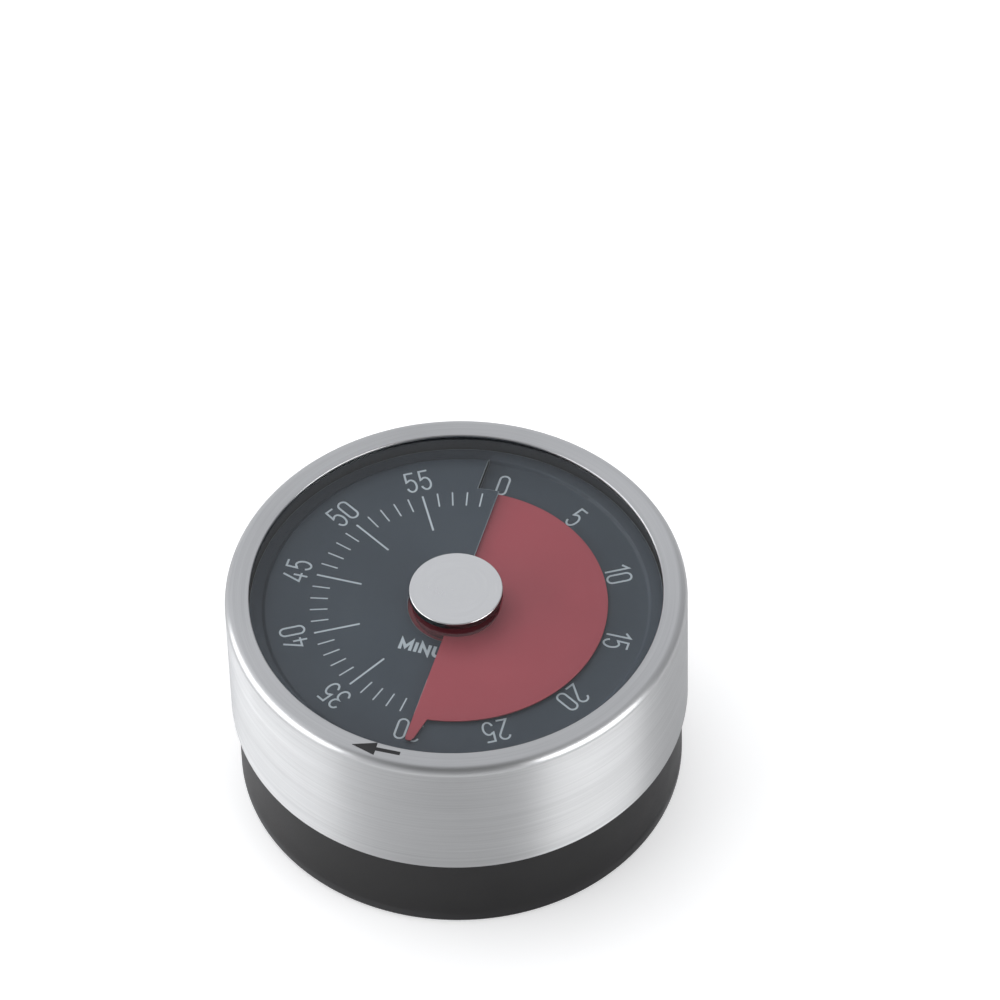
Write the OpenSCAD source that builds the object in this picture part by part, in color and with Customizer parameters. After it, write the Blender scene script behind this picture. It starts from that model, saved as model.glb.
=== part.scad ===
// Visual countdown kitchen timer: a black base holding a spring-driven movement and a bell,
// a fixed helical dial, and a turning assembly of steel ring, lens, button and red disc.
// Millimetres, +Z up. The origin is on the table under the centre of the dial.
// The 0 mark of the dial points along +Y, and the timer is drawn set to 30 minutes.

/* [Overall] */
// Outside radius of the steel ring
ring_r = 38; // [36:0.5:60]
// Height of the steel rim above the table
rim_z = 41; // [40:0.5:70]

/* [Base housing] */
// How far the black base stands inside the steel ring
base_inset = 1; // [0.5:0.1:2]
// Wall of the base around the bell space
base_wall = 2; // [1.5:0.1:3]
// Height of the base's shoulder, where the turning ring starts
shoulder_z = 15.7; // [15.5:0.1:18]
// Thickness of the base floor
floor_t = 2.2; // [1.6:0.1:2.6]
// Wall of the neck that carries the dial and guides the ring
neck_wall = 1.7; // [1.2:0.1:2.2]

/* [Foot pad and magnet] */
// How far the rubber foot stands proud of the base
foot_proud = 0.4; // [0.2:0.1:0.8]
// Thickness of the rubber foot ring
foot_t = 1.2; // [1:0.1:1.8]
// Width of the rubber foot ring
foot_w = 9; // [5:0.5:11]
// Radius of the holding magnet
magnet_r = 8; // [5:0.5:10]
// Thickness of the holding magnet
magnet_t = 2.2; // [1.2:0.1:2.2]

/* [Steel ring and liner] */
// Thickness of the drawn steel
steel_t = 0.6; // [0.4:0.1:0.8]
// Width of the flat steel rim around the lens
rim_w = 4; // [3:0.5:6]
// Radius of the rim's rolled outer edge
edge_r = 1.4; // [1:0.1:2]
// Gap between the steel skirt and the base shoulder
skirt_gap = 0.3; // [0.2:0.1:0.8]

/* [Lens and button] */
// Thickness of the clear lens
lens_t = 1.5; // [1:0.1:2]
// Width of lens held in the liner
lens_seat_w = 2.1; // [1.4:0.1:2.4]
// Radius of the centre button
button_r = 7.7; // [6:0.1:10]
// Thickness of the centre button
button_t = 1.3; // [0.8:0.1:2]

/* [Dial] */
// Gap between the lens and the red disc's hub when the disc is at its highest
lens_clear = 1.8; // [0.2:0.1:2]
// Rise of the dial in one turn
dial_pitch = 1.8; // [1.4:0.1:1.9]
// Thickness of the dial plate
dial_t = 0.5; // [0.3:0.05:0.6]
// Radius of the hole in the dial
dial_hole_r = 8; // [7.8:0.1:10]
// Width of the dial's flat outer flange
flange_w = 2.1; // [1.5:0.1:2.6]
// Sideways step of the slit outside the red disc
slit_jog = 3.6; // [2.5:0.1:5]

/* [Red disc] */
// Radius of the red disc
disc_r = 24.9; // [20:0.1:25.4]
// Thickness of the red disc
disc_t = 0.4; // [0.2:0.05:0.5]
// Outside radius of the red disc's hub
disc_hub_r = 7.2; // [6.4:0.1:7.4]
// Length of the pointer beyond the disc
pointer_l = 4.9; // [3:0.1:5.5]
// Width of the pointer at its root
pointer_w = 2.3; // [1.6:0.1:2.6]
// Radius of the pointer's blunt tip
pointer_tip_r = 0.6; // [0.3:0.05:0.7]

/* [Movement] */
// Radius of the two movement plates
plate_r = 28.6; // [28.4:0.1:29]
// Thickness of a movement plate
plate_t = 1; // [0.8:0.1:1.2]
// Distance between the movement plates
plate_gap = 14; // [14:0.1:16]
// Height of the back plate's underside
plate_z = 12; // [12:0.1:13]
// Radius of the main arbor
arbor_r = 1.5; // [1.2:0.05:1.8]
// Radius of the small arbors
pivot_r = 0.6; // [0.5:0.05:0.7]
// Radial running clearance of a shaft in its hole
run = 0.04; // [0.02:0.01:0.08]
// Teeth of each wheel
wheel_teeth = 60; // [60:1:60]
// Leaves of each pinion
pinion_leaves = 10; // [10:1:10]
// Tooth module of the main wheel
main_module = 0.45; // [0.4:0.01:0.46]
// Tooth module of the second wheel
second_module = 0.4; // [0.38:0.01:0.42]
// Tooth module of the third wheel
third_module = 0.35; // [0.32:0.01:0.37]

/* [Bell] */
// Outside radius of the bell
bell_r = 22; // [18:0.5:23]
// Height of the bell cup
bell_h = 4.8; // [3.5:0.1:5]
// Thickness of the bell metal
bell_t = 0.8; // [0.6:0.1:1]

/* [Hidden] */
$fn = 72;

// Small assembly gaps
fit = 0.05;   // between pieces fixed to each other
loose = 0.3;  // between pieces that pass without touching
far = 200;    // longer than any piece, for cuts that run right through

// Colours
black_plastic = [0.13, 0.12, 0.13];
rubber_black = [0.08, 0.08, 0.08];
steel_grey = [0.72, 0.73, 0.75];
dark_steel = [0.42, 0.43, 0.45];
brass = [0.78, 0.66, 0.35];
dial_grey = [0.29, 0.33, 0.36];
disc_red = [0.62, 0.2, 0.24];
button_grey = [0.74, 0.75, 0.76];

// Base and neck
base_r = ring_r - base_inset;
base_in_r = base_r - base_wall;
liner_in_r = ring_r - rim_w + 0.4;
neck_r = liner_in_r - 0.5;
neck_in_r = neck_r - neck_wall;
bead_r = liner_in_r - 0.15;
floor_top = foot_proud + floor_t;
shoulder_t = 2;

// Steel ring, liner and lens
liner_r = ring_r - steel_t - fit;
skirt_z = shoulder_z + skirt_gap;
lens_top = rim_z - steel_t;
lens_z = lens_top - lens_t;
lens_r = liner_in_r + lens_seat_w;
button_z = lens_top;

// Dial and red disc: two helical sheets of the same pitch, half a pitch apart
hub_over = 0.1; // how far the hub stands above the disc's leading edge
dial_z = lens_z - lens_clear - hub_over - disc_t / 2 - dial_pitch;
seat_z = dial_z - dial_t / 2;
flange_r = liner_in_r - loose;
flange_in_r = flange_r - flange_w;
ramp_r = flange_in_r - 0.5;
slit_r = disc_r + loose;
lead_z = dial_z + dial_pitch / 2;
disc_low = lead_z - dial_pitch - disc_t;

// Drive hub
hub_r = 4.4;
hub_bottom = seat_z - dial_pitch * 1.5 - 2.6;
hub_bore_r = hub_r + 2 * run;
boss_r = 2.95;
key_w = 1.2;
key_h = 1;
spigot_r = 1.2;

// Heights in the movement, from the back plate up
plate_top = plate_z + plate_t;
front_z = plate_top + plate_gap;
front_top = front_z + plate_t;
cam_z = plate_top + 0.4;
spring_z = plate_top + 2;
spring_h = 4.6;
escape_z = plate_top + 4;
main_wheel_z = plate_top + 7.3;
wheel_t = 1;
main_wheel_t = 1.2;
ratchet_z = main_wheel_z + main_wheel_t + 0.1;
ratchet_t = 0.8;
second_wheel_z = plate_top + 10;
third_wheel_z = plate_top + 12.1;
balance_z = plate_top + 9.6;
arbor_foot_z = plate_z + 0.2;
arbor_top_z = hub_bottom + 5.4;

// Gear train: centre distances and places of the arbors, A at the dial's axis
pair_teeth = (wheel_teeth + pinion_leaves) / 2;
second_at = [main_module * pair_teeth, 0];
second_third = second_module * pair_teeth;
third_from_main = 16.5;
third_dir = side_angle(norm(second_at), third_from_main, second_third);
third_at = polar(third_from_main, third_dir);
third_escape = third_module * pair_teeth;
escape_from_main = 17.5;
escape_dir = third_dir + side_angle(third_from_main, escape_from_main, third_escape);
escape_at = polar(escape_from_main, escape_dir);

// Teeth: the wheels have short teeth and the pinions long ones, so that no flank digs in
wheel_add = 0.6;
wheel_ded = 1.35;
pinion_add = 1.1;
pinion_ded = 0.9;
tooth_slack = 0.05;
pressure = 20;

// Escapement
escape_teeth = 16;
escape_r = 6;
pallet_gap = 0.3;
pallet_half = 3.5 * 360 / escape_teeth / 2;
pallet_from_escape = 8.15;
pallet_dir = 170;
pallet_at = escape_at + polar(pallet_from_escape, pallet_dir);
pallet_pin_r = 0.25;
balance_r = 7;

// Ratchet and click on the main wheel
ratchet_teeth = 20;
ratchet_r = 5;
click_pin_r = 0.6;
click_boss_r = 1.3;
click_tip_r = 0.3;
click_dir = 192;
click_pin = polar(9.2, click_dir);
click_tip_dir = click_dir - 28;
click_tip = polar(ratchet_r - 0.1, click_tip_dir);
ratchet_turn = click_tip_dir - 8;
click_spring_post = polar(11.9, click_dir - 40);

// Strike cam, hammer and bell
finger_r = 10.2;
finger_w = 0.8;
cam_r = 7;
hammer_from_main = 15;
hammer_dir = 240;
hammer_at = polar(hammer_from_main, hammer_dir);
feeler_r = 9.3;
feeler_dir = 262;
feeler_tip_r = 0.4;
feeler_knee = polar(12.2, feeler_dir + 2);
finger_past = 6.2;
finger_dir = feeler_dir + finger_past - 180;
bell_bottom = plate_z - 1.6 - bell_h;
head_r = 1.8;
head_gap = 0.55;
head_dir = 275;
head_at = polar(bell_r + head_gap + head_r, head_dir);
arm_z = plate_z - 1.1;
arm_t = 0.8;
head_z = bell_bottom + 1.9;

// Pillars and screws
pillar_at = plate_r - 2.2;
pillar_r = 1.6;
pillar_dirs = [85, 205, 325];
boss_dirs = [60, 180, 300];
screw_at = neck_in_r - 2.8;
screw_head_r = 2.2;
screw_shank_r = 1.1;
housing_boss_r = 3.2;
lug_r = 2.7;
spring_post_at = polar(11.15, 150);

// ---------- plane geometry ----------

// A point at radius r, a degrees counter-clockwise from +X
function polar(r, a) = [r * cos(a), r * sin(a)];

// A point at radius r, phi degrees clockwise from +Y, as on the dial
function clock(r, phi) = [r * sin(phi), r * cos(phi)];

// The angle at the corner between sides a and b of a triangle whose third side is c
function side_angle(a, b, c) = acos((a * a + b * b - c * c) / (2 * a * b));

// Involute of an angle, in degrees
function involute(a) = tan(a) * 180 / PI - a;

// Half the angle of a tooth at radius r
function tooth_half(m, n, r) =
    let (pitch_r = m * n / 2, base = pitch_r * cos(pressure))
    90 / n - tooth_slack / pitch_r * 90 / PI
    + involute(pressure) - involute(acos(min(1, base / r)));

// Outline of an involute gear with a tooth centred on +X; steps points follow each flank
function gear_outline(m, n, add, ded, steps) =
    let (pitch_r = m * n / 2, root = pitch_r - ded * m, tip = pitch_r + add * m,
         base = pitch_r * cos(pressure), start = max(root, base),
         flank = [for (s = [0 : steps - 1]) start + (tip - start) * s / (steps - 1)])
    [for (i = [0 : n - 1]) let (c = 360 * i / n) each concat(
        base > root ? [polar(root, c - tooth_half(m, n, base))] : [],
        [for (r = flank) polar(r, c - tooth_half(m, n, r))],
        [for (s = [steps - 1 : -1 : 0]) polar(flank[s], c + tooth_half(m, n, flank[s]))],
        base > root ? [polar(root, c + tooth_half(m, n, base))] : [])];

// The turn that puts gear 2 in mesh with gear 1, seen along direction a from 1 to 2
function mesh_turn(a, n1, turn1, n2) =
    a + 180 - (0.5 - (a - turn1) * n1 / 360) * 360 / n2;

// Outline of a wheel with n saw teeth: a long back rising to the tip, then a steep face
function saw_outline(n, root, tip, back, lean) = [
    for (i = [0 : n - 1]) let (c = 360 * i / n) each
        [polar(root, c - back), polar(tip, c - 1.2), polar(tip, c), polar(root, c + lean)]];

// Outline of a flat spiral strip from radius r0 to r1
function spiral_outline(r0, r1, turns, t, steps) =
    let (mid = [for (s = [0 : steps]) r0 + (r1 - r0) * s / steps],
         ang = [for (s = [0 : steps]) 360 * turns * s / steps])
    concat([for (s = [0 : steps]) polar(mid[s] + t / 2, ang[s])],
           [for (s = [steps : -1 : 0]) polar(mid[s] - t / 2, ang[s])]);

main_turn = 0;
second_turn = mesh_turn(0, wheel_teeth, main_turn, pinion_leaves);
third_turn = mesh_turn(atan2(third_at[1] - second_at[1], third_at[0] - second_at[0]),
                       wheel_teeth, second_turn, pinion_leaves);
escape_turn = mesh_turn(atan2(escape_at[1] - third_at[1], escape_at[0] - third_at[0]),
                        wheel_teeth, third_turn, pinion_leaves);
escape_wheel_turn = pallet_dir + pallet_half + 360 / escape_teeth * 0.25;

// ---------- shared shapes ----------

// A tube from z0 to z1
module tube(r_out, r_in, z0, z1) {
    translate([0, 0, z0]) difference() {
        cylinder(r = r_out, h = z1 - z0);
        translate([0, 0, -1]) cylinder(r = r_in, h = z1 - z0 + 2);
    }
}

// A flat rounded link between two points in the plane
module link(a, b, ra, rb) {
    d = b - a;
    u = d / norm(d);
    n = [-u[1], u[0]];
    translate(a) circle(r = ra);
    translate(b) circle(r = rb);
    polygon([a + n * ra, a - n * ra, b - n * rb, b + n * rb]);
}

// A screw standing on z: cylindrical head with a slot, shank pointing down
module screw(z, head, head_h, shank, shank_l) {
    difference() {
        translate([0, 0, z]) cylinder(r = head, h = head_h);
        translate([-head - 1, -0.25, z + head_h - 0.5]) cube([2 * head + 2, 0.5, 1]);
    }
    translate([0, 0, z - shank_l]) cylinder(r = shank, h = shank_l);
}

// A toothed wheel with a bore and five round holes, the first at hole_dir
module wheel(m, n, t, bore, turn, hub, hole_dir) {
    rim = m * (n / 2 - wheel_ded) - 1.4;
    mid = (rim + hub) / 2;
    hole = min((rim - hub) / 2 - 0.4, mid * sin(36) - 0.5);
    rotate([0, 0, turn]) linear_extrude(height = t) difference() {
        polygon(gear_outline(m, n, wheel_add, wheel_ded, 3));
        circle(r = bore);
        for (i = [0 : 4]) rotate(hole_dir + i * 72) translate([mid, 0]) circle(r = hole);
    }
}

// A small arbor between the plates with its pinion leaves
module pinion_arbor(at, m, turn, z0, z1) {
    translate([at[0], at[1], 0]) {
        translate([0, 0, plate_z + 0.1]) cylinder(r = pivot_r, h = front_top - plate_z - 0.2);
        rotate([0, 0, turn]) translate([0, 0, z0]) linear_extrude(height = z1 - z0)
            polygon(gear_outline(m, pinion_leaves, pinion_add, pinion_ded, 5));
    }
}

// A helical strip between two radii, from clock angle p0 at height z0 to p1 at z1
module helical_strip(r0, r1, p0, p1, z0, z1, t, n) {
    pts = [for (side = [0.5, -0.5], i = [0 : n], r = [r0, r1])
           let (c = clock(r, p0 + (p1 - p0) * i / n))
           [c[0], c[1], z0 + (z1 - z0) * i / n + side * t]];
    b = 2 * (n + 1);
    faces = concat(
        [for (i = [0 : n - 1]) let (a = 2 * i) each
            [[a, a + 1, a + 3], [a, a + 3, a + 2],
             [b + a, b + a + 3, b + a + 1], [b + a, b + a + 2, b + a + 3],
             [a, a + 2, b + a + 2], [a, b + a + 2, b + a],
             [a + 1, b + a + 1, b + a + 3], [a + 1, b + a + 3, a + 3]]],
        [[0, b, b + 1], [0, b + 1, 1],
         [b - 2, b - 1, 2 * b - 1], [b - 2, 2 * b - 1, 2 * b - 2]]);
    polyhedron(pts, faces);
}

// A coil of round wire about the Z axis
module coil(r, wire, turns, z0, z1, sides, per_turn) {
    n = turns * per_turn;
    pts = [for (i = [0 : n], s = [0 : sides - 1])
           let (a = 360 * i / per_turn, q = 360 * s / sides, c = polar(r + wire * cos(q), a))
           [c[0], c[1], z0 + (z1 - z0) * i / n + wire * sin(q)]];
    faces = concat(
        [for (i = [0 : n - 1], s = [0 : sides - 1])
            let (a = i * sides + s, d = i * sides + (s + 1) % sides)
            [a, a + sides, d + sides, d]],
        [[for (s = [0 : sides - 1]) s]],
        [[for (s = [sides - 1 : -1 : 0]) n * sides + s]]);
    polyhedron(pts, faces);
}

// ---------- base ----------

module foot_pad() {
    color(rubber_black)
        tube(base_r - 4 - fit, base_r - 4 - foot_w + fit, 0, foot_t);
}

module magnet() {
    color(dark_steel) translate([0, 0, foot_proud + 0.1])
        cylinder(r = magnet_r, h = magnet_t);
}

// Outline of the base's outside, from the axis to the shoulder, with a rounded foot edge
module base_outside() {
    corner = 0.6;
    translate([0, foot_proud + corner]) square([base_r, shoulder_z - foot_proud - corner]);
    translate([0, foot_proud]) square([base_r - corner, corner]);
    translate([base_r - corner, foot_proud + corner]) circle(r = corner);
}

module base_housing() {
    pocket_top = foot_proud + 0.1 + magnet_t + 0.1;
    bead_top = seat_z - 1;
    color(black_plastic) {
        difference() {
            rotate_extrude() difference() {
                union() {
                    intersection() {
                        base_outside();
                        square([far, far]);
                    }
                    square([neck_r, seat_z]);
                    translate([0, bead_top - 1.2]) square([bead_r, 1.2]);
                }
                translate([-far, floor_top])
                    square([far + base_in_r, shoulder_z - shoulder_t - floor_top]);
                translate([-far, floor_top]) square([far + neck_in_r, far]);
                translate([-far, -far]) square([2 * far, far + foot_proud]);
            }
            tube(base_r - 4, base_r - 4 - foot_w, foot_proud - 1, foot_t);
            translate([0, 0, foot_proud - 1]) cylinder(r = magnet_r + 0.1, h = floor_t + 2);
        }
        difference() {
            translate([0, 0, floor_top - 1])
                cylinder(r = magnet_r + 1.6, h = pocket_top + 0.9 - floor_top + 1);
            translate([0, 0, foot_proud - 1])
                cylinder(r = magnet_r + 0.1, h = pocket_top - foot_proud + 1);
        }
        for (a = boss_dirs) translate(concat(polar(screw_at, a), 0)) difference() {
            translate([0, 0, floor_top - 0.5])
                cylinder(r = housing_boss_r, h = plate_z - floor_top + 0.5);
            translate([0, 0, floor_top + 1]) cylinder(r = screw_shank_r, h = plate_z);
        }
    }
}

// ---------- movement frame ----------

// One plate of the movement with its pivot holes
module plate_blank(z) {
    translate([0, 0, z]) difference() {
        cylinder(r = plate_r, h = plate_t);
        for (p = [second_at, third_at, escape_at, pallet_at, hammer_at])
            translate([p[0], p[1], -1]) cylinder(r = pivot_r + run, h = plate_t + 2);
    }
}

module back_plate() {
    color(steel_grey) difference() {
        union() {
            plate_blank(plate_z);
            for (a = boss_dirs) translate([0, 0, plate_z]) {
                rotate([0, 0, a]) translate([plate_r - 4, 0.3 - lug_r, 0])
                    cube([screw_at - plate_r + 4, 2 * lug_r - 0.6, plate_t]);
                translate(concat(polar(screw_at, a), 0)) cylinder(r = lug_r, h = plate_t);
            }
        }
        translate([0, 0, plate_z - 1]) cylinder(r = arbor_r - 0.3 + run, h = plate_t + 2);
        for (a = boss_dirs) translate(concat(polar(screw_at, a), plate_z - 1))
            cylinder(r = screw_shank_r + 0.1, h = plate_t + 2);
        for (a = pillar_dirs) translate(concat(polar(pillar_at, a), plate_z - 1))
            cylinder(r = pillar_r - 0.6, h = plate_t + 2);
        translate([spring_post_at[0], spring_post_at[1], plate_z - 1])
            cylinder(r = 0.5, h = plate_t + 2);
    }
}

module front_plate() {
    color(steel_grey) difference() {
        plate_blank(front_z);
        translate([0, 0, front_z - 1]) cylinder(r = arbor_r + run, h = plate_t + 2);
        for (a = boss_dirs) translate(concat(polar(screw_at, a), front_z - 1))
            cylinder(r = screw_head_r + 0.5, h = plate_t + 2);
        for (a = pillar_dirs) translate(concat(polar(pillar_at, a), front_z - 1))
            cylinder(r = 1, h = plate_t + 2);
    }
}

// A turned pillar, riveted into the back plate and tapped at the front
module pillar(i) {
    color(steel_grey) translate(concat(polar(pillar_at, pillar_dirs[i]), 0)) difference() {
        union() {
            translate([0, 0, plate_top]) cylinder(r = pillar_r, h = plate_gap);
            translate([0, 0, plate_z]) cylinder(r = pillar_r - 0.6 - fit / 2, h = plate_t + 1);
        }
        translate([0, 0, front_z - 5]) cylinder(r = 0.9, h = 6);
    }
}

module pillar_1() pillar(0);
module pillar_2() pillar(1);
module pillar_3() pillar(2);

module pillar_screws() {
    color(dark_steel) for (a = pillar_dirs) translate(concat(polar(pillar_at, a), 0))
        screw(front_top, 1.9, 1.1, 0.9 - fit / 2, plate_t + 4);
}

module movement_screws() {
    color(dark_steel) for (a = boss_dirs) translate(concat(polar(screw_at, a), 0))
        screw(plate_top, screw_head_r, 0.55 + 0.5, screw_shank_r - fit / 2, plate_t + 7);
}

// ---------- bell ----------

module bell_gong() {
    bend = 2.4;
    color(steel_grey) rotate_extrude() difference() {
        union() {
            translate([1.7, bell_bottom]) square([bell_r - bend - 1.7, bell_t]);
            translate([bell_r - bell_t, bell_bottom + bend]) square([bell_t, bell_h - bend]);
            intersection() {
                translate([bell_r - bend, bell_bottom + bend]) difference() {
                    circle(r = bend);
                    circle(r = bend - bell_t);
                }
                translate([bell_r - bend, bell_bottom]) square(bend);
            }
        }
    }
}

module bell_post() {
    color(steel_grey) difference() {
        translate([0, 0, bell_bottom + bell_t]) cylinder(r = 2.6, h = plate_z - bell_bottom - bell_t);
        translate([0, 0, bell_bottom]) cylinder(r = 1.2, h = 4);
    }
}

module bell_screw() {
    color(dark_steel) translate([0, 0, bell_bottom]) mirror([0, 0, 1])
        screw(0, 2.6, 1.1, 1.2 - fit / 2, 3.6);
}

// ---------- spring, arbor and what turns with the knob ----------

module spring_post() {
    color(steel_grey) translate([spring_post_at[0], spring_post_at[1], 0]) {
        translate([0, 0, plate_top]) cylinder(r = 0.8, h = spring_h + 2.2);
        translate([0, 0, plate_z]) cylinder(r = 0.5 - fit / 2, h = plate_t + 0.5);
    }
}

module mainspring() {
    turns = 6 + 150 / 360;
    color(dark_steel) translate([0, 0, spring_z]) {
        linear_extrude(height = spring_h)
            polygon(spiral_outline(arbor_r + 0.5, 10.1, turns, 0.3, 180));
        translate([spring_post_at[0], spring_post_at[1], 0]) difference() {
            cylinder(r = 1.25, h = spring_h);
            translate([0, 0, -1]) cylinder(r = 0.8 + fit, h = spring_h + 2);
        }
    }
}

module main_arbor() {
    color(steel_grey) {
        translate([0, 0, arbor_foot_z]) cylinder(r = arbor_r - 0.3, h = 2);
        difference() {
            translate([0, 0, plate_top + 0.1])
                cylinder(r = arbor_r, h = arbor_top_z - plate_top - 0.1);
            translate([arbor_r - 0.4, -far / 2, hub_bottom - 0.2]) cube([far, far, far]);
        }
    }
}

module ratchet_wheel() {
    color(brass) translate([0, 0, ratchet_z]) linear_extrude(height = ratchet_t) difference() {
        rotate(ratchet_turn)
            polygon(saw_outline(ratchet_teeth, ratchet_r - 0.8, ratchet_r, 15, 2));
        circle(r = arbor_r + fit / 2);
    }
}

module strike_cam() {
    color(brass) translate([0, 0, cam_z]) linear_extrude(height = 1) difference() {
        union() {
            circle(r = cam_r);
            rotate(finger_dir) translate([0, -finger_w / 2])
                square([finger_r - finger_w / 2, finger_w]);
            rotate(finger_dir) translate([finger_r - finger_w / 2, 0]) circle(r = finger_w / 2);
        }
        circle(r = arbor_r + fit / 2);
        for (i = [0 : 2]) rotate(i * 120 + 30) translate([4.2, 0]) circle(r = 1.3);
    }
}

// ---------- wheel train ----------

module main_wheel() {
    color(brass) {
        translate([0, 0, main_wheel_z])
            wheel(main_module, wheel_teeth, main_wheel_t, arbor_r + run, main_turn, 5.4,
                  click_dir + 36);
        translate([click_pin[0], click_pin[1], main_wheel_z + main_wheel_t - 0.2])
            cylinder(r = click_pin_r, h = ratchet_t + 0.5);
    }
}

// The click: a pivoted arm whose tip rests in the ratchet's teeth
module click() {
    color(dark_steel) translate([0, 0, ratchet_z + 0.05]) linear_extrude(height = ratchet_t - 0.1)
        difference() {
            link(click_pin, click_tip, click_boss_r, click_tip_r);
            translate(click_pin) circle(r = click_pin_r + run);
        }
}

// A flat spring strip from a rivet on the wheel to the back of the click
module click_spring() {
    strip_r = 0.15;
    along = click_tip - click_pin;
    across = [-along[1], along[0]] / norm(along);
    share = 0.6;
    click_half = click_boss_r + (click_tip_r - click_boss_r) * share;
    touch = click_pin + along * share + across * (click_half + strip_r + 0.1);
    color(steel_grey) translate([0, 0, ratchet_z]) linear_extrude(height = ratchet_t - 0.1) {
        link(click_spring_post, touch, strip_r, strip_r);
        translate(click_spring_post) circle(r = 0.7);
    }
}

module second_pinion() {
    color(dark_steel) pinion_arbor(second_at, main_module, second_turn,
                                   main_wheel_z - 0.5, main_wheel_z + main_wheel_t + 0.9);
}

module second_wheel() {
    color(brass) translate([second_at[0], second_at[1], second_wheel_z])
        wheel(second_module, wheel_teeth, wheel_t, pivot_r + fit / 2, second_turn, 2, 0);
}

module third_pinion() {
    color(dark_steel) pinion_arbor(third_at, second_module, third_turn,
                                   second_wheel_z - 0.4, second_wheel_z + wheel_t + 0.8);
}

module third_wheel() {
    color(brass) translate([third_at[0], third_at[1], third_wheel_z])
        wheel(third_module, wheel_teeth, wheel_t, pivot_r + fit / 2, third_turn, 2, 0);
}

module escape_pinion() {
    color(dark_steel) pinion_arbor(escape_at, third_module, escape_turn,
                                   third_wheel_z - 0.4, third_wheel_z + wheel_t + 0.4);
}

module escape_wheel() {
    color(brass) translate([escape_at[0], escape_at[1], escape_z])
        rotate([0, 0, escape_wheel_turn]) linear_extrude(height = wheel_t) difference() {
            polygon(saw_outline(escape_teeth, escape_r - 1.7, escape_r, 7, -0.4));
            circle(r = pivot_r + fit / 2);
            for (i = [0 : 4]) rotate(i * 72) translate([2.5, 0]) circle(r = 0.8);
        }
}

// ---------- pallets and balance ----------

module pallet_arbor() {
    color(dark_steel) translate([pallet_at[0], pallet_at[1], plate_z + 0.1])
        cylinder(r = pivot_r, h = front_top - plate_z - 0.2);
}

// Two arms over the escape wheel, each with a pin that drops between its teeth
module pallet_lever() {
    pin_circle = escape_r + pallet_gap;
    pins = [for (s = [-1, 1]) escape_at + polar(pin_circle, pallet_dir + s * pallet_half)];
    color(dark_steel) {
        translate([0, 0, escape_z + wheel_t + 0.3]) linear_extrude(height = 0.8) difference() {
            union() {
                for (p = pins) link(pallet_at, p, 1.4, 0.5);
            }
            translate(pallet_at) circle(r = pivot_r + fit / 2);
        }
        for (p = pins) translate([p[0], p[1], escape_z - 0.1])
            cylinder(r = pallet_pin_r, h = wheel_t + 0.9);
    }
}

module balance_bar() {
    color(brass) translate([pallet_at[0], pallet_at[1], balance_z]) rotate([0, 0, pallet_dir - 90])
        linear_extrude(height = 0.8) difference() {
            union() {
                translate([-balance_r + 1.1, -0.6]) square([2 * balance_r - 2.2, 1.2]);
                for (s = [-1, 1]) translate([s * (balance_r - 1.3), 0]) circle(r = 1.3);
                circle(r = 1.5);
            }
            circle(r = pivot_r + fit / 2);
        }
}

// ---------- hammer ----------

module hammer_arbor() {
    color(dark_steel) translate([hammer_at[0], hammer_at[1], arm_z])
        cylinder(r = pivot_r, h = front_top - 0.1 - arm_z);
}

module hammer_feeler() {
    color(steel_grey) translate([0, 0, cam_z]) linear_extrude(height = 1.2) difference() {
        union() {
            link(hammer_at, feeler_knee, 1.4, 0.6);
            link(feeler_knee, polar(feeler_r, feeler_dir), 0.6, feeler_tip_r);
        }
        translate(hammer_at) circle(r = pivot_r + fit / 2);
    }
}

module hammer_arm() {
    color(steel_grey) {
        translate([0, 0, arm_z]) linear_extrude(height = arm_t) difference() {
            link(hammer_at, head_at, 1.4, 0.9);
            translate(hammer_at) circle(r = pivot_r + fit / 2);
        }
        translate([head_at[0], head_at[1], head_z]) cylinder(r = head_r, h = arm_z + arm_t - head_z);
    }
}

module hammer_spring() {
    color(dark_steel) translate([hammer_at[0], hammer_at[1], 0])
        coil(pivot_r + 0.5, 0.15, 5, cam_z + 1.6, cam_z + 3.6, 6, 18);
}

// ---------- dial and red disc ----------

// Height of the dial's middle surface at a clock angle
function ramp_z(phi) = dial_z + dial_pitch * (phi / 360 - 0.5);

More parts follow.
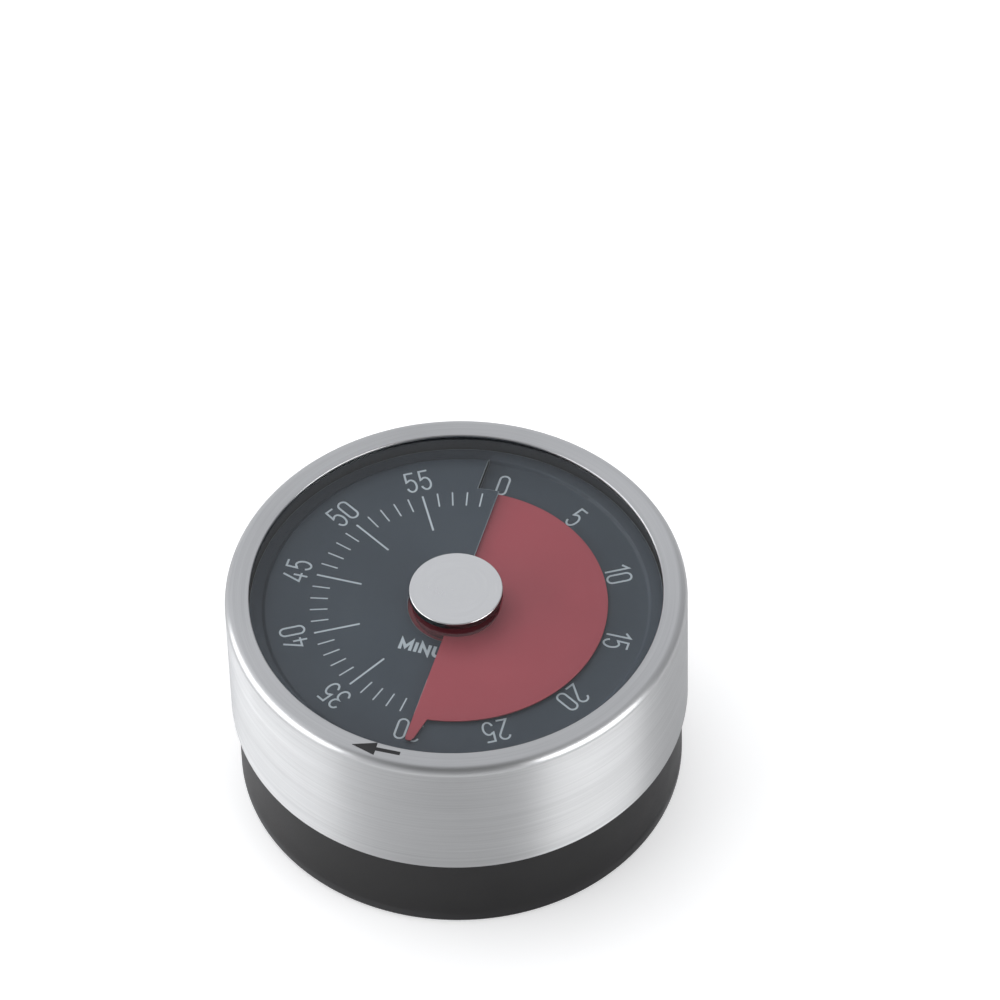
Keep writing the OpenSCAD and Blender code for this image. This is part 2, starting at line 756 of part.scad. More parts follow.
// The dial: one turn of a helical ramp in a flat flange. Its slit runs straight out from
// the hole, steps sideways at the red disc's edge and runs on to the flange.
module dial_plate() {
    rows = [dial_hole_r, slit_r, ramp_r, flange_in_r, flange_r];
    last = 72;
    steps = last - 2;
    jogs = [for (r = rows) asin(slit_jog / max(r, slit_r))];
    spans = [for (j = [0 : 4]) concat([-jogs[j], 0], [for (k = [1 : steps]) 5 * k],
                                      [360 - jogs[j], 360])];
    cols = last + 2;
    block = 5 * cols;
    pts = [for (side = [0.5, -0.5], j = [0 : 4], k = [0 : cols - 1])
           let (c = clock(rows[j], spans[j][k]))
           [c[0], c[1], (j < 3 ? ramp_z(spans[j][k]) : dial_z) + side * dial_t]];
    function at(j, k) = j * cols + (j > 2 && k == last ? 0 : k);
    cells = concat([for (k = [1 : last]) [0, k]],
                   [for (j = [1 : 3], k = [0 : last - 1]) [j, k]]);
    edges = concat(
        [for (k = [1 : last]) [at(0, k + 1), at(0, k)]],
        [for (k = [0 : last - 1]) [at(4, k), at(4, k + 1)]],
        [[at(0, 1), at(1, 1)], [at(1, last + 1), at(0, last + 1)],
         [at(1, 0), at(2, 0)], [at(2, 0), at(3, 0)],
         [at(2, last), at(1, last)], [at(3, last), at(2, last)],
         [at(1, 1), at(1, 0)], [at(1, last), at(1, last + 1)]]);
    faces = concat(
        [for (c = cells) let (p = at(c[0], c[1]), q = at(c[0] + 1, c[1]),
                              s = at(c[0] + 1, c[1] + 1), t = at(c[0], c[1] + 1)) each
            [[p, q, s], [p, s, t],
             [block + p, block + s, block + q], [block + p, block + t, block + s]]],
        [for (e = edges) each
            [[e[1], e[0], block + e[0]], [e[1], block + e[0], block + e[1]]]]);
    color(dial_grey) polyhedron(pts, faces);
}

module red_disc() {
    tip_r = disc_r + pointer_l - pointer_tip_r;
    color(disc_red) {
        helical_strip(disc_hub_r - 0.4, disc_r, -180, 180, lead_z - dial_pitch, lead_z,
                      disc_t, 72);
        difference() {
            tube(disc_hub_r, hub_bore_r, disc_low, lead_z + disc_t / 2 + hub_over);
            for (s = [0, 180]) rotate([0, 0, s])
                translate([0, -key_w / 2 - run, 0]) cube([hub_r + key_h + run, key_w + 2 * run, far]);
        }
        rotate([0, 0, 180]) translate([0, 0, lead_z - disc_t / 2 - 0.005])
            linear_extrude(height = disc_t) {
                polygon([[0, disc_r - 0.5], [0, tip_r], [-2 * pointer_tip_r, tip_r],
                         [-pointer_w, disc_r - 0.5]]);
                translate([-pointer_tip_r, tip_r]) circle(r = pointer_tip_r);
            }
    }
}

// ---------- turning cover ----------

// The hub that the arbor drives: it carries the lens and slides in the red disc
module drive_hub() {
    color(black_plastic) difference() {
        union() {
            translate([0, 0, hub_bottom]) cylinder(r = hub_r, h = lens_z - fit - hub_bottom);
            translate([0, 0, lens_z - 1]) cylinder(r = boss_r, h = lens_top - lens_z + 1);
            for (s = [0, 180]) rotate([0, 0, s])
                translate([0, -key_w / 2, disc_low - dial_pitch])
                    cube([hub_r + key_h - run, key_w, lens_z - disc_low + dial_pitch - 0.2]);
        }
        difference() {
            translate([0, 0, hub_bottom - 1]) cylinder(r = arbor_r + fit / 2, h = 6.5);
            translate([arbor_r - 0.4 + fit / 2, -far / 2, hub_bottom - 2]) cube([far, far, far]);
        }
        translate([0, 0, lens_top - 3]) cylinder(r = spigot_r + fit / 2, h = 4);
    }
}

module lens() {
    color([0.85, 0.9, 0.92, 0.3]) tube(lens_r - fit, boss_r + fit, lens_z, lens_top);
}

module centre_button() {
    corner = 0.35;
    color(button_grey) {
        rotate_extrude() intersection() {
            union() {
                square([button_r, button_z + button_t - corner]);
                square([button_r - corner, button_z + button_t]);
                translate([button_r - corner, button_z + button_t - corner]) circle(r = corner);
            }
            translate([0, button_z]) square([far, far]);
        }
        translate([0, 0, button_z - 2.6]) cylinder(r = spigot_r, h = 3);
    }
}

// The black liner that joins lens and steel ring and turns on the neck of the base
module ring_liner() {
    lip = 0.9;
    bead_low = seat_z - 3.6;
    color(black_plastic) rotate_extrude() difference() {
        polygon([[liner_in_r + 0.2, shoulder_z + fit], [liner_r, shoulder_z + fit],
                 [liner_r, lens_top - lip], [liner_r - lip, lens_top], [lens_r, lens_top],
                 [lens_r, lens_z], [liner_in_r, lens_z], [liner_in_r, bead_low + 1],
                 [neck_r + 0.1, bead_low + 1], [neck_r + 0.1, bead_low],
                 [liner_in_r + 0.2, bead_low - 0.6]]);
        translate([0, shoulder_z - 1]) square([neck_r + 0.1, 1]);
    }
}

// Outline of a shell's outside with a rolled top edge
module rolled_outline(r, top, corner) {
    square([r, top - corner]);
    square([r - corner, top]);
    translate([r - corner, top - corner]) circle(r = corner);
}

module steel_ring() {
    color(steel_grey) rotate_extrude() intersection() {
        difference() {
            rolled_outline(ring_r, rim_z, edge_r);
            rolled_outline(ring_r - steel_t, rim_z - steel_t, edge_r - steel_t);
            square([ring_r - rim_w, far]);
        }
        translate([0, skirt_z]) square([far, far]);
    }
}

foot_pad();
magnet();
base_housing();
back_plate();
front_plate();
pillar_1();
pillar_2();
pillar_3();
pillar_screws();
movement_screws();
bell_gong();
bell_post();
bell_screw();
spring_post();
mainspring();
main_arbor();
ratchet_wheel();
strike_cam();
main_wheel();
click();
click_spring();
second_pinion();
second_wheel();
third_pinion();
third_wheel();
escape_pinion();
escape_wheel();
pallet_arbor();
pallet_lever();
balance_bar();
hammer_arbor();
hammer_feeler();
hammer_arm();
hammer_spring();
dial_plate();
red_disc();
drive_hub();
lens();
centre_button();
ring_liner();
steel_ring();
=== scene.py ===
"""Looks of a mechanical countdown timer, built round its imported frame.

The timer has a black base with a neck, a helical dial on the neck, a red disc that screws
through the dial's slit, and a turning cover of brushed steel ring, liner, clear lens and
centre button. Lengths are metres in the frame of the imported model: +Z up, the 0 mark of the
dial along +Y, and clock angles run clockwise from +Y when seen from above.
"""

import logging
import math
from collections.abc import Callable
from dataclasses import dataclass, field
from enum import Enum

import bpy
import numpy as np
from mathutils import Matrix, Vector


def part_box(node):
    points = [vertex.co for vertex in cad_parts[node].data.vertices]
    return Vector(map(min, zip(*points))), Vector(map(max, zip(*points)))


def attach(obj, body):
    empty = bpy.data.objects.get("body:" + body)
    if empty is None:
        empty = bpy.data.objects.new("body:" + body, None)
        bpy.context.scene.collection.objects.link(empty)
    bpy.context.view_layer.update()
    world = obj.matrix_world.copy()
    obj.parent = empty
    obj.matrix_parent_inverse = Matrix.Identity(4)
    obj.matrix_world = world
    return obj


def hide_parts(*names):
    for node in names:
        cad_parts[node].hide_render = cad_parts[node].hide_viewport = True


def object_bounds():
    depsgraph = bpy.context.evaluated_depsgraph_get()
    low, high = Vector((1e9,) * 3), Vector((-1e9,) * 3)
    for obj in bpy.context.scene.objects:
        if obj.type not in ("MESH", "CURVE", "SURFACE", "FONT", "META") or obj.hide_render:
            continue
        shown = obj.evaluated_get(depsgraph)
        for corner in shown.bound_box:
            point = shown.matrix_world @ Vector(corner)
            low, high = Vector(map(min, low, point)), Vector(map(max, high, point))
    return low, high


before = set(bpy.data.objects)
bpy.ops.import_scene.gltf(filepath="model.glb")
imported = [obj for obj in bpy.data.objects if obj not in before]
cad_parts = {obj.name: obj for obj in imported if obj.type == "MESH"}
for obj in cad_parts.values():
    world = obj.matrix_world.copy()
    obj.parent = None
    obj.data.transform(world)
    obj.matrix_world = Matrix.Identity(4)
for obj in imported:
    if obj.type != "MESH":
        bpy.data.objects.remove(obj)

CAD_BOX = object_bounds()

Array = np.ndarray
Colour = tuple[float, float, float]
LOG = logging.getLogger("timer")

MM = 0.001
AROUND = 240
FILLET_STEP = math.radians(9)
SMOOTH_ANGLE = math.radians(35)
BEVEL_STEPS = 2
BOW_STEP = 12.0
QUARTER_TURN = 0.25
LINE_RELIEF = 0.02 * MM
GRAIN_RELIEF = 0.03 * MM


# ---------- outlines and meshes ----------


@dataclass(frozen=True)
class Corner:
    """One corner of an outline in the r-z plane, with the radius it is rounded to."""

    r: float
    z: float
    fillet: float = 0.0


@dataclass(frozen=True)
class Outline:
    """Points round a section with the outward normal at each; open ones start and end on the axis."""

    points: Array
    normals: Array
    closed: bool


def unit(v: Array) -> Array:
    """Rows of v scaled to length 1."""
    return v / np.maximum(np.linalg.norm(v, axis=-1, keepdims=True), 1e-12)


def round_corner(before: Array, at: Array, after: Array, radius: float) -> tuple[Array, Array]:
    """Replaces one corner of an outline by an arc.

    The arc touches both sides, so its ends lie radius / tan(half the corner's angle) from the
    corner, and its normals are the radii, turned outwards at an inside corner.

    Args:
        before: the corner before this one, (r, z).
        at: this corner.
        after: the corner after this one.
        radius: radius of the arc.

    Returns:
        The arc's points and their outward normals, in the direction of travel.
    """
    back, on = unit(before - at), unit(after - at)
    half = math.acos(float(np.clip(back @ on, -1, 1))) / 2
    centre = at + unit(back + on) * radius / math.sin(half)
    turn_left = back[1] * on[0] - back[0] * on[1] > 0
    first = at + back * radius / math.tan(half) - centre
    last = at + on * radius / math.tan(half) - centre
    start = math.atan2(first[1], first[0])
    sweep = (math.atan2(last[1], last[0]) - start + math.pi) % (2 * math.pi) - math.pi
    angles = start + sweep * np.linspace(0, 1, max(2, math.ceil(abs(sweep) / FILLET_STEP) + 1))
    radii = np.stack([np.cos(angles), np.sin(angles)], axis=1)
    return centre + radius * radii, radii if turn_left else -radii


def rounded_outline(corners: list[Corner]) -> Outline:
    """Makes a smooth outline from corners given counter-clockwise in the r-z plane.

    Args:
        corners: the corners; where the first and last lie on the axis the outline is open.

    Returns:
        The outline with one true normal at each point.
    """
    raw = np.array([[c.r, c.z] for c in corners])
    is_open = corners[0].r == 0 and corners[-1].r == 0
    points, normals = [], []
    for i, corner in enumerate(corners):
        if is_open and i in (0, len(corners) - 1):
            way = unit(raw[1] - raw[0]) if i == 0 else unit(raw[-1] - raw[-2])
            points.append(raw[i : i + 1])
            normals.append(np.array([[way[1], -way[0]]]))
            continue
        arc, out = round_corner(raw[i - 1], raw[i], raw[(i + 1) % len(raw)], corner.fillet)
        points.append(arc)
        normals.append(out)
    return Outline(np.concatenate(points), np.concatenate(normals), not is_open)


def build_mesh(name: str, verts: Array, faces: list[Array], normals: Array | None = None,
               uvs: Array | None = None) -> bpy.types.Object:
    """Puts whole arrays into a new mesh object.

    Args:
        name: the object's name.
        verts: n by 3 points.
        faces: arrays of vertex indices, each with one row per face of the same corner count.
        normals: one normal per vertex, or None to take them from the faces.
        uvs: one row per face corner, in the order of faces, or None.

    Returns:
        The object, linked to the scene.
    """
    mesh = bpy.data.meshes.new(name)
    corners = np.concatenate([f.ravel() for f in faces]).astype(np.int32)
    counts = np.concatenate([np.full(len(f), f.shape[1]) for f in faces])
    starts = np.concatenate([[0], np.cumsum(counts)[:-1]]).astype(np.int32)
    mesh.vertices.add(len(verts))
    mesh.vertices.foreach_set("co", np.asarray(verts, np.float32).ravel())
    mesh.loops.add(len(corners))
    mesh.loops.foreach_set("vertex_index", corners)
    mesh.polygons.add(len(starts))
    mesh.polygons.foreach_set("loop_start", starts)
    mesh.update(calc_edges=True)
    mesh.validate()
    mesh.polygons.foreach_set("use_smooth", np.ones(len(starts), bool))
    if uvs is not None:
        mesh.uv_layers.new(name="turned").uv.foreach_set("vector", np.asarray(uvs, np.float32).ravel())
    if normals is not None:
        mesh.normals_split_custom_set_from_vertices(unit(normals).tolist())
    else:
        mesh.set_sharp_from_angle(angle=SMOOTH_ANGLE)
    obj = bpy.data.objects.new(name, mesh)
    bpy.context.scene.collection.objects.link(obj)
    return obj


@dataclass
class Turning:
    """A surface of revolution about a vertical axis, as arrays ready for a mesh."""

    outline: Outline
    centre: tuple[float, float] = (0.0, 0.0)
    around: int = AROUND

    def arrays(self) -> tuple[Array, list[Array], Array, Array]:
        """Works out the turned surface.

        A point at (r, z) goes to (r cos a, r sin a, z) for each angle a round the axis. The
        first parameter runs along the outline and the second round the axis. Where an open
        outline meets the axis its ring is one point, and triangles close the surface there.

        Returns:
            Vertices, a list of quads and triangles, vertex normals, and corner UVs with u round
            the axis from 0 to 1 and v the length along the outline.
        """
        n, m = len(self.outline.points), self.around
        angle = 2 * np.pi * np.arange(m) / m
        cos, sin = np.cos(angle), np.sin(angle)
        r, z = self.outline.points.T
        nr, nz = self.outline.normals.T
        verts = np.stack([np.outer(r, cos) + self.centre[0], np.outer(r, sin) + self.centre[1],
                          np.repeat(z[:, None], m, 1)], axis=-1).reshape(-1, 3)
        norms = np.stack([np.outer(nr, cos), np.outer(nr, sin), np.repeat(nz[:, None], m, 1)],
                         axis=-1).reshape(-1, 3)
        steps = n if self.outline.closed else n - 1
        i, j = np.meshgrid(np.arange(steps), np.arange(m), indexing="ij")
        i, j = i.ravel(), j.ravel()
        i2, j2 = (i + 1) % n, (j + 1) % m
        quads = np.stack([i * m + j, i * m + j2, i2 * m + j2, i2 * m + j], axis=1)
        ends = np.roll(self.outline.points, -1, axis=0) - self.outline.points
        along = np.concatenate([[0], np.cumsum(np.linalg.norm(ends, axis=1))])
        u, u2 = j / m, (j + 1) / m
        uv = np.stack([u, along[i], u2, along[i], u2, along[i + 1], u, along[i + 1]], axis=1)
        if self.outline.closed:
            return verts, [quads], norms, uv.reshape(-1, 2)
        return self._with_poles(verts, quads, norms, uv, i, steps)

    def _with_poles(self, verts: Array, quads: Array, norms: Array, uv: Array, row: Array,
                    steps: int) -> tuple[Array, list[Array], Array, Array]:
        """Joins the first and last ring to one point each and turns their quads into triangles.

        Args:
            verts: all ring points.
            quads: all quads.
            norms: all normals.
            uv: eight numbers per quad.
            row: the outline step of each quad.
            steps: how many steps the outline has.

        Returns:
            The same four things as arrays().
        """
        m = self.around
        first, last = row == 0, row == steps - 1
        middle = ~(first | last)
        top_pole = steps * m
        tri_first = np.stack([np.zeros(m, int), quads[first][:, 2], quads[first][:, 3]], axis=1)
        tri_last = np.stack([quads[last][:, 0], quads[last][:, 1], np.full(m, top_pole)], axis=1)
        used = np.ones(len(verts), bool)
        used[1:m] = False
        used[top_pole + 1 :] = False
        new_index = np.cumsum(used) - 1
        faces = [new_index[quads[middle]], new_index[tri_first], new_index[tri_last]]
        uvs = [uv[middle].reshape(-1, 2), uv[first][:, [0, 1, 4, 5, 6, 7]].reshape(-1, 2),
               uv[last][:, [0, 1, 2, 3, 4, 5]].reshape(-1, 2)]
        return verts[used], faces, norms[used], np.concatenate(uvs)


def turned(name: str, turnings: list[Turning]) -> bpy.types.Object:
    """One object from one or more surfaces of revolution.

    Args:
        name: the object's name.
        turnings: the surfaces.

    Returns:
        The object with true normals and the UV map "turned".
    """
    verts, faces, norms, uvs, base = [], [], [], [], 0
    for turning in turnings:
        v, f, n, uv = turning.arrays()
        verts.append(v)
        faces += [part + base for part in f]
        norms.append(n)
        uvs.append(uv)
        base += len(v)
    return build_mesh(name, np.concatenate(verts), faces, np.concatenate(norms), np.concatenate(uvs))


@dataclass
class Sheet:
    """A sheet with thickness: top points, the matching bottom points, and the quads between."""

    top: Array
    bottom: Array
    quads: Array

    def arrays(self) -> tuple[Array, Array]:
        """Closes the sheet.

        The bottom has the top's quads turned over. An edge whose reverse belongs to no quad is
        on the border, and a wall quad joins it to the edge below it.

        Returns:
            Vertices and quads of the closed solid.
        """
        n = len(self.top)
        edges = np.concatenate([self.quads[:, [k, (k + 1) % 4]] for k in range(4)])
        edges = edges[edges[:, 0] != edges[:, 1]]
        forward, reverse = edges @ [n, 1], edges[:, ::-1] @ [n, 1]
        a, b = edges[~np.isin(forward, reverse)].T
        walls = np.stack([b, a, a + n, b + n], axis=1)
        quads = np.concatenate([self.quads, self.quads[:, ::-1] + n, walls])
        used, flat = np.unique(quads, return_inverse=True)
        return np.concatenate([self.top, self.bottom])[used], flat.reshape(quads.shape)


def sheets(name: str, parts: list[Sheet]) -> bpy.types.Object:
    """One object from one or more closed sheets.

    Args:
        name: the object's name.
        parts: the sheets.

    Returns:
        The object, with sharp edges where its faces turn by more than the smooth angle.
    """
    verts, quads, base = [], [], 0
    for part in parts:
        v, q = part.arrays()
        verts.append(v)
        quads.append(q + base)
        base += len(v)
    return build_mesh(name, np.concatenate(verts), [np.concatenate(quads)])


def soften_edges(obj: bpy.types.Object, width: float, material: int = -1) -> None:
    """Rounds an object's sharp edges with a small bevel.

    Args:
        obj: the object.
        width: the bevel's width.
        material: material slot of the bevel, or -1 for that of the faces beside it.
    """
    bevel = obj.modifiers.new("edges", "BEVEL")
    bevel.width = width
    bevel.segments = BEVEL_STEPS
    bevel.limit_method = "ANGLE"
    bevel.angle_limit = SMOOTH_ANGLE
    bevel.harden_normals = True
    bevel.material = material


def clock(r: Array | float, phi: Array | float) -> tuple[Array, Array]:
    """The x and y of a point at radius r and clock angle phi in degrees."""
    a = np.radians(phi)
    return r * np.sin(a), r * np.cos(a)


def smooth_step(t: Array) -> Array:
    """3 t squared minus 2 t cubed, held at 0 and 1 outside that range."""
    t = np.clip(t, 0, 1)
    return t * t * (3 - 2 * t)


def grid_quads(rows: int, cols: int) -> Array:
    """Quads of a grid whose vertices are numbered row by row.

    Vertex a = i times cols + j has its neighbours at a + 1 and a + cols.

    Args:
        rows: number of rows.
        cols: number of vertices in a row.

    Returns:
        One row of four vertex numbers for each cell.
    """
    i, j = np.meshgrid(np.arange(rows - 1), np.arange(cols - 1), indexing="ij")
    a = (i * cols + j).ravel()
    return np.stack([a, a + 1, a + cols + 1, a + cols], axis=1)


# ---------- drawn strokes ----------


@dataclass(frozen=True)
class Glyph:
    """A sign drawn with a pen: its width and its strokes, in units of its height."""

    width: float
    strokes: tuple[Array, ...]


def bow(cx: float, cy: float, rx: float, ry: float, start: float, end: float) -> Array:
    """Points on an ellipse about (cx, cy) from angle start to end in degrees."""
    a = np.radians(np.linspace(start, end, max(3, round(abs(end - start) / BOW_STEP) + 1)))
    return np.stack([cx + rx * np.cos(a), cy + ry * np.sin(a)], axis=1)


def line(*points: tuple[float, float]) -> Array:
    """A path through the given points."""
    return np.array(points, float)


def digit_glyphs(w: float) -> dict[str, Glyph]:
    """The narrow numerals of the dial, w wide and 1 high.

    Args:
        w: width between the middles of the upright strokes.

    Returns:
        The glyphs of 0 to 5 by character.
    """
    h = w / 2
    top, foot = 1 - h, h
    return {
        "0": Glyph(w, (np.concatenate([bow(h, top, h, h, 0, 180), bow(h, foot, h, h, 180, 360),
                                       line((w, top))]),)),
        "1": Glyph(w * 0.62, (line((0, 0.78), (w * 0.55, 1), (w * 0.55, 0)),)),
        "2": Glyph(w, (np.concatenate([bow(h, top, h, h, 175, -25), line((0, 0), (w, 0))]),)),
        "3": Glyph(w, (np.concatenate([bow(h, 0.77, h * 0.94, 0.23, 165, -90),
                                       bow(h, 0.27, h, 0.27, 90, -165)[1:]]),)),
        "4": Glyph(w * 1.1, (line((w * 0.62, 1), (0, 0.27), (w * 1.1, 0.27)),
                             line((w * 0.76, 0.58), (w * 0.76, 0)))),
        "5": Glyph(w, (np.concatenate([line((w * 0.94, 1), (w * 0.1, 1), (w * 0.06, 0.55)),
                                       bow(h, 0.32, h, 0.32, 125, -160)]),)),
    }


def letter_glyphs() -> dict[str, Glyph]:
    """The capitals of the word under the button, 1 high.

    Returns:
        The glyph of each capital by character.
    """
    u_r, s_r = 0.31, 0.28
    return {
        "M": Glyph(0.86, (line((0, 0), (0, 1), (0.43, 0.3), (0.86, 1), (0.86, 0)),)),
        "I": Glyph(0.0, (line((0, 0), (0, 1)),)),
        "N": Glyph(0.68, (line((0, 0), (0, 1), (0.68, 0), (0.68, 1)),)),
        "U": Glyph(2 * u_r, (np.concatenate([line((0, 1)), bow(u_r, u_r, u_r, u_r, 180, 360),
                                             line((2 * u_r, 1))]),)),
        "T": Glyph(0.64, (line((0, 1), (0.64, 1)), line((0.32, 1), (0.32, 0)))),
        "E": Glyph(0.5, (line((0.5, 1), (0, 1), (0, 0), (0.5, 0)), line((0, 0.52), (0.43, 0.52)))),
        "S": Glyph(2 * s_r, (np.concatenate([bow(s_r, 0.76, s_r, 0.24, 25, 270),
                                             bow(s_r, 0.26, s_r, 0.26, 90, -155)[1:]]),)),
    }


def write(text: str, glyphs: dict[str, Glyph], height: float, gap: float) -> list[Array]:
    """Sets a line of text centred on the origin.

    Args:
        text: the characters.
        glyphs: the glyph of each character.
        height: height between the middles of the top and bottom strokes.
        gap: space between glyphs.

    Returns:
        The strokes as paths in the plane, x to the right and y up.
    """
    widths = [glyphs[c].width * height for c in text]
    x = -(sum(widths) + gap * (len(text) - 1)) / 2
    strokes = []
    for character, width in zip(text, widths):
        strokes += [s * height + [x, -height / 2] for s in glyphs[character].strokes]
        x += width + gap
    return strokes


def ribbon(path: Array, width: float) -> tuple[Array, Array]:
    """A flat ribbon along a path.

    Each point moves sideways by half the width along the mean of its two segments' normals,
    lengthened at a bend so that the ribbon keeps its width, up to a limit at a sharp bend.

    Args:
        path: n by 2 points; a path that ends where it starts is closed.
        width: the ribbon's width.

    Returns:
        2n points, left side first, and the quads between them, counter-clockwise.
    """
    same_point, sharpest = 1e-9, 0.35
    closed = np.linalg.norm(path[0] - path[-1]) < same_point
    way = unit(np.diff(path, axis=0))
    side = np.stack([-way[:, 1], way[:, 0]], axis=1)
    before = np.concatenate([side[-1:] if closed else side[:1], side])
    after = np.concatenate([side, side[:1] if closed else side[-1:]])
    mean = unit(before + after)
    offset = mean * (width / 2 / np.maximum((mean * after).sum(1, keepdims=True), sharpest))
    n = len(path)
    k = np.arange(n - 1)
    quads = np.stack([k + n, k + 1 + n, k + 1, k], axis=1)
    if closed:
        quads[-1] = [2 * n - 2, n, 0, n - 2]
    return np.concatenate([path + offset, path - offset]), quads


# ---------- shader helpers ----------


Socket = bpy.types.NodeSocket


class Nodes:
    """A node tree that is filled by short calls."""

    def __init__(self, tree: bpy.types.NodeTree) -> None:
        """Keeps the tree."""
        self.tree = tree

    def add(self, kind: str, inputs: dict[str | int, object] | None = None,
            **settings: object) -> bpy.types.Node:
        """Adds a node.

        Args:
            kind: the node's type name.
            inputs: value or socket for each input, by name or number.
            **settings: properties of the node.

        Returns:
            The node.
        """
        node = self.tree.nodes.new(kind)
        for key, value in settings.items():
            setattr(node, key, value)
        for key, value in (inputs or {}).items():
            if isinstance(value, Socket):
                self.tree.links.new(value, node.inputs[key])
            else:
                node.inputs[key].default_value = value
        return node

    def math(self, operation: str, a: Socket | float, b: Socket | float = 0.0) -> Socket:
        """The result of a Math node."""
        return self.add("ShaderNodeMath", {0: a, 1: b}, operation=operation).outputs[0]

    def mix(self, factor: Socket, a: Colour, b: Colour) -> Socket:
        """A colour between a and b."""
        node = self.add("ShaderNodeMix", {0: factor, 6: (*a, 1), 7: (*b, 1)}, data_type="RGBA")
        return node.outputs[2]

    def spread(self, value: Socket, low: float, high: float, start: float = 0.3,
               end: float = 0.7) -> Socket:
        """A value between start and end brought to low and high.

        Args:
            value: the value.
            low: the result at start.
            high: the result at end.
            start: lower end of the value's range.
            end: upper end of the value's range.

        Returns:
            The result, held at low and high outside the range.
        """
        node = self.add("ShaderNodeMapRange", {"Value": value, "From Min": start, "From Max": end,
                                               "To Min": low, "To Max": high})
        return node.outputs[0]

    def noise(self, vector: Socket, scale: float | Socket, detail: float = 2.0) -> Socket:
        """The value of a noise texture."""
        node = self.add("ShaderNodeTexNoise", {"Vector": vector, "Scale": scale, "Detail": detail})
        return node.outputs["Fac"]

    def xyz(self, x: Socket | float, y: Socket | float, z: Socket | float) -> Socket:
        """A vector from its three parts."""
        return self.add("ShaderNodeCombineXYZ", {0: x, 1: y, 2: z}).outputs[0]


def new_group(name: str, inputs: dict[str, float | None], outputs: list[str]) -> tuple[Nodes, dict, dict]:
    """Starts a shader node group.

    Args:
        name: the group's name.
        inputs: default value of each float input, or None for a vector.
        outputs: names of the float outputs.

    Returns:
        The group's nodes, its inputs' sockets by name, and the sockets that take its outputs.
    """
    tree = bpy.data.node_groups.new(name, "ShaderNodeTree")
    for key, value in inputs.items():
        kind = "NodeSocketVector" if value is None else "NodeSocketFloat"
        made = tree.interface.new_socket(name=key, in_out="INPUT", socket_type=kind)
        if value is not None:
            made.default_value = value
    for key in outputs:
        tree.interface.new_socket(name=key, in_out="OUTPUT", socket_type="NodeSocketFloat")
    nodes = Nodes(tree)
    source = nodes.add("NodeGroupInput")
    sink = nodes.add("NodeGroupOutput")
    return (nodes, {k: source.outputs[k] for k in inputs}, {k: sink.inputs[k] for k in outputs})


class Pattern(Enum):
    """The shared effects, each a node group, by the group's name."""

    TURNED = "turned_lines"
    ROLLED = "rolled_lines"
    GRAIN = "moulded_grain"
    HANDLING = "handling_marks"


def build_turned_lines() -> None:
    """Fine lines that run round the Z axis.

    The noise is read at (cos a, sin a) times Around and at (r + z) times Across, so a line
    keeps its tone round the axis and changes quickly across it, on walls and flats alike. The
    bands are the same noise read at a coarser size.
    """
    coarse = 0.16
    nodes, given, taken = new_group(Pattern.TURNED.value,
                                    {"Vector": None, "Around": 2.5, "Across": 8000.0},
                                    ["Lines", "Bands"])
    parts = nodes.add("ShaderNodeSeparateXYZ", {0: given["Vector"]}).outputs
    flat = nodes.xyz(parts[0], parts[1], 0.0)
    radius = nodes.add("ShaderNodeVectorMath", {0: flat}, operation="LENGTH").outputs["Value"]
    radius = nodes.math("MAXIMUM", radius, 0.01 * MM)
    level = nodes.math("ADD", radius, parts[2])
    for output, share in (("Lines", 1.0), ("Bands", coarse)):
        around = nodes.math("DIVIDE", nodes.math("MULTIPLY", given["Around"], share ** 0.5), radius)
        across = nodes.math("MULTIPLY", nodes.math("MULTIPLY", given["Across"], share), level)
        place = nodes.xyz(nodes.math("MULTIPLY", parts[0], around),
                          nodes.math("MULTIPLY", parts[1], around), across)
        nodes.tree.links.new(nodes.noise(place, 1.0, 3.0), taken[output])


def build_rolled_lines() -> None:
    """Straight lines along X, as on sheet from a rolling mill: noise stretched along X."""
    stretch = 0.03
    nodes, given, taken = new_group(Pattern.ROLLED.value, {"Vector": None, "Across": 5000.0},
                                    ["Lines"])
    parts = nodes.add("ShaderNodeSeparateXYZ", {0: given["Vector"]}).outputs
    slow = nodes.math("MULTIPLY", given["Across"], stretch)
    place = nodes.xyz(nodes.math("MULTIPLY", parts[0], slow),
                      nodes.math("MULTIPLY", parts[1], given["Across"]),
                      nodes.math("MULTIPLY", parts[2], given["Across"]))
    nodes.tree.links.new(nodes.noise(place, 1.0, 2.0), taken["Lines"])


def build_moulded_grain() -> None:
    """A fine even grain and a slow change of tone: plain noise at one size and at 40 times that."""
    tone_share = 1 / 40
    nodes, given, taken = new_group(Pattern.GRAIN.value, {"Vector": None, "Grain Scale": 4000.0},
                                    ["Grain", "Tone"])
    slow = nodes.math("MULTIPLY", given["Grain Scale"], tone_share)
    nodes.tree.links.new(nodes.noise(given["Vector"], given["Grain Scale"], 2.0), taken["Grain"])
    nodes.tree.links.new(nodes.noise(given["Vector"], slow, 3.0), taken["Tone"])


def build_handling_marks() -> None:
    """Soft smudges where fingers have been: slow noise sharpened to patches."""
    patch_start, patch_full = 0.48, 0.68
    nodes, given, taken = new_group(Pattern.HANDLING.value, {"Vector": None, "Patch Scale": 90.0},
                                    ["Smudge"])
    patches = nodes.noise(given["Vector"], given["Patch Scale"], 4.0)
    nodes.tree.links.new(nodes.spread(patches, 0.0, 1.0, patch_start, patch_full), taken["Smudge"])


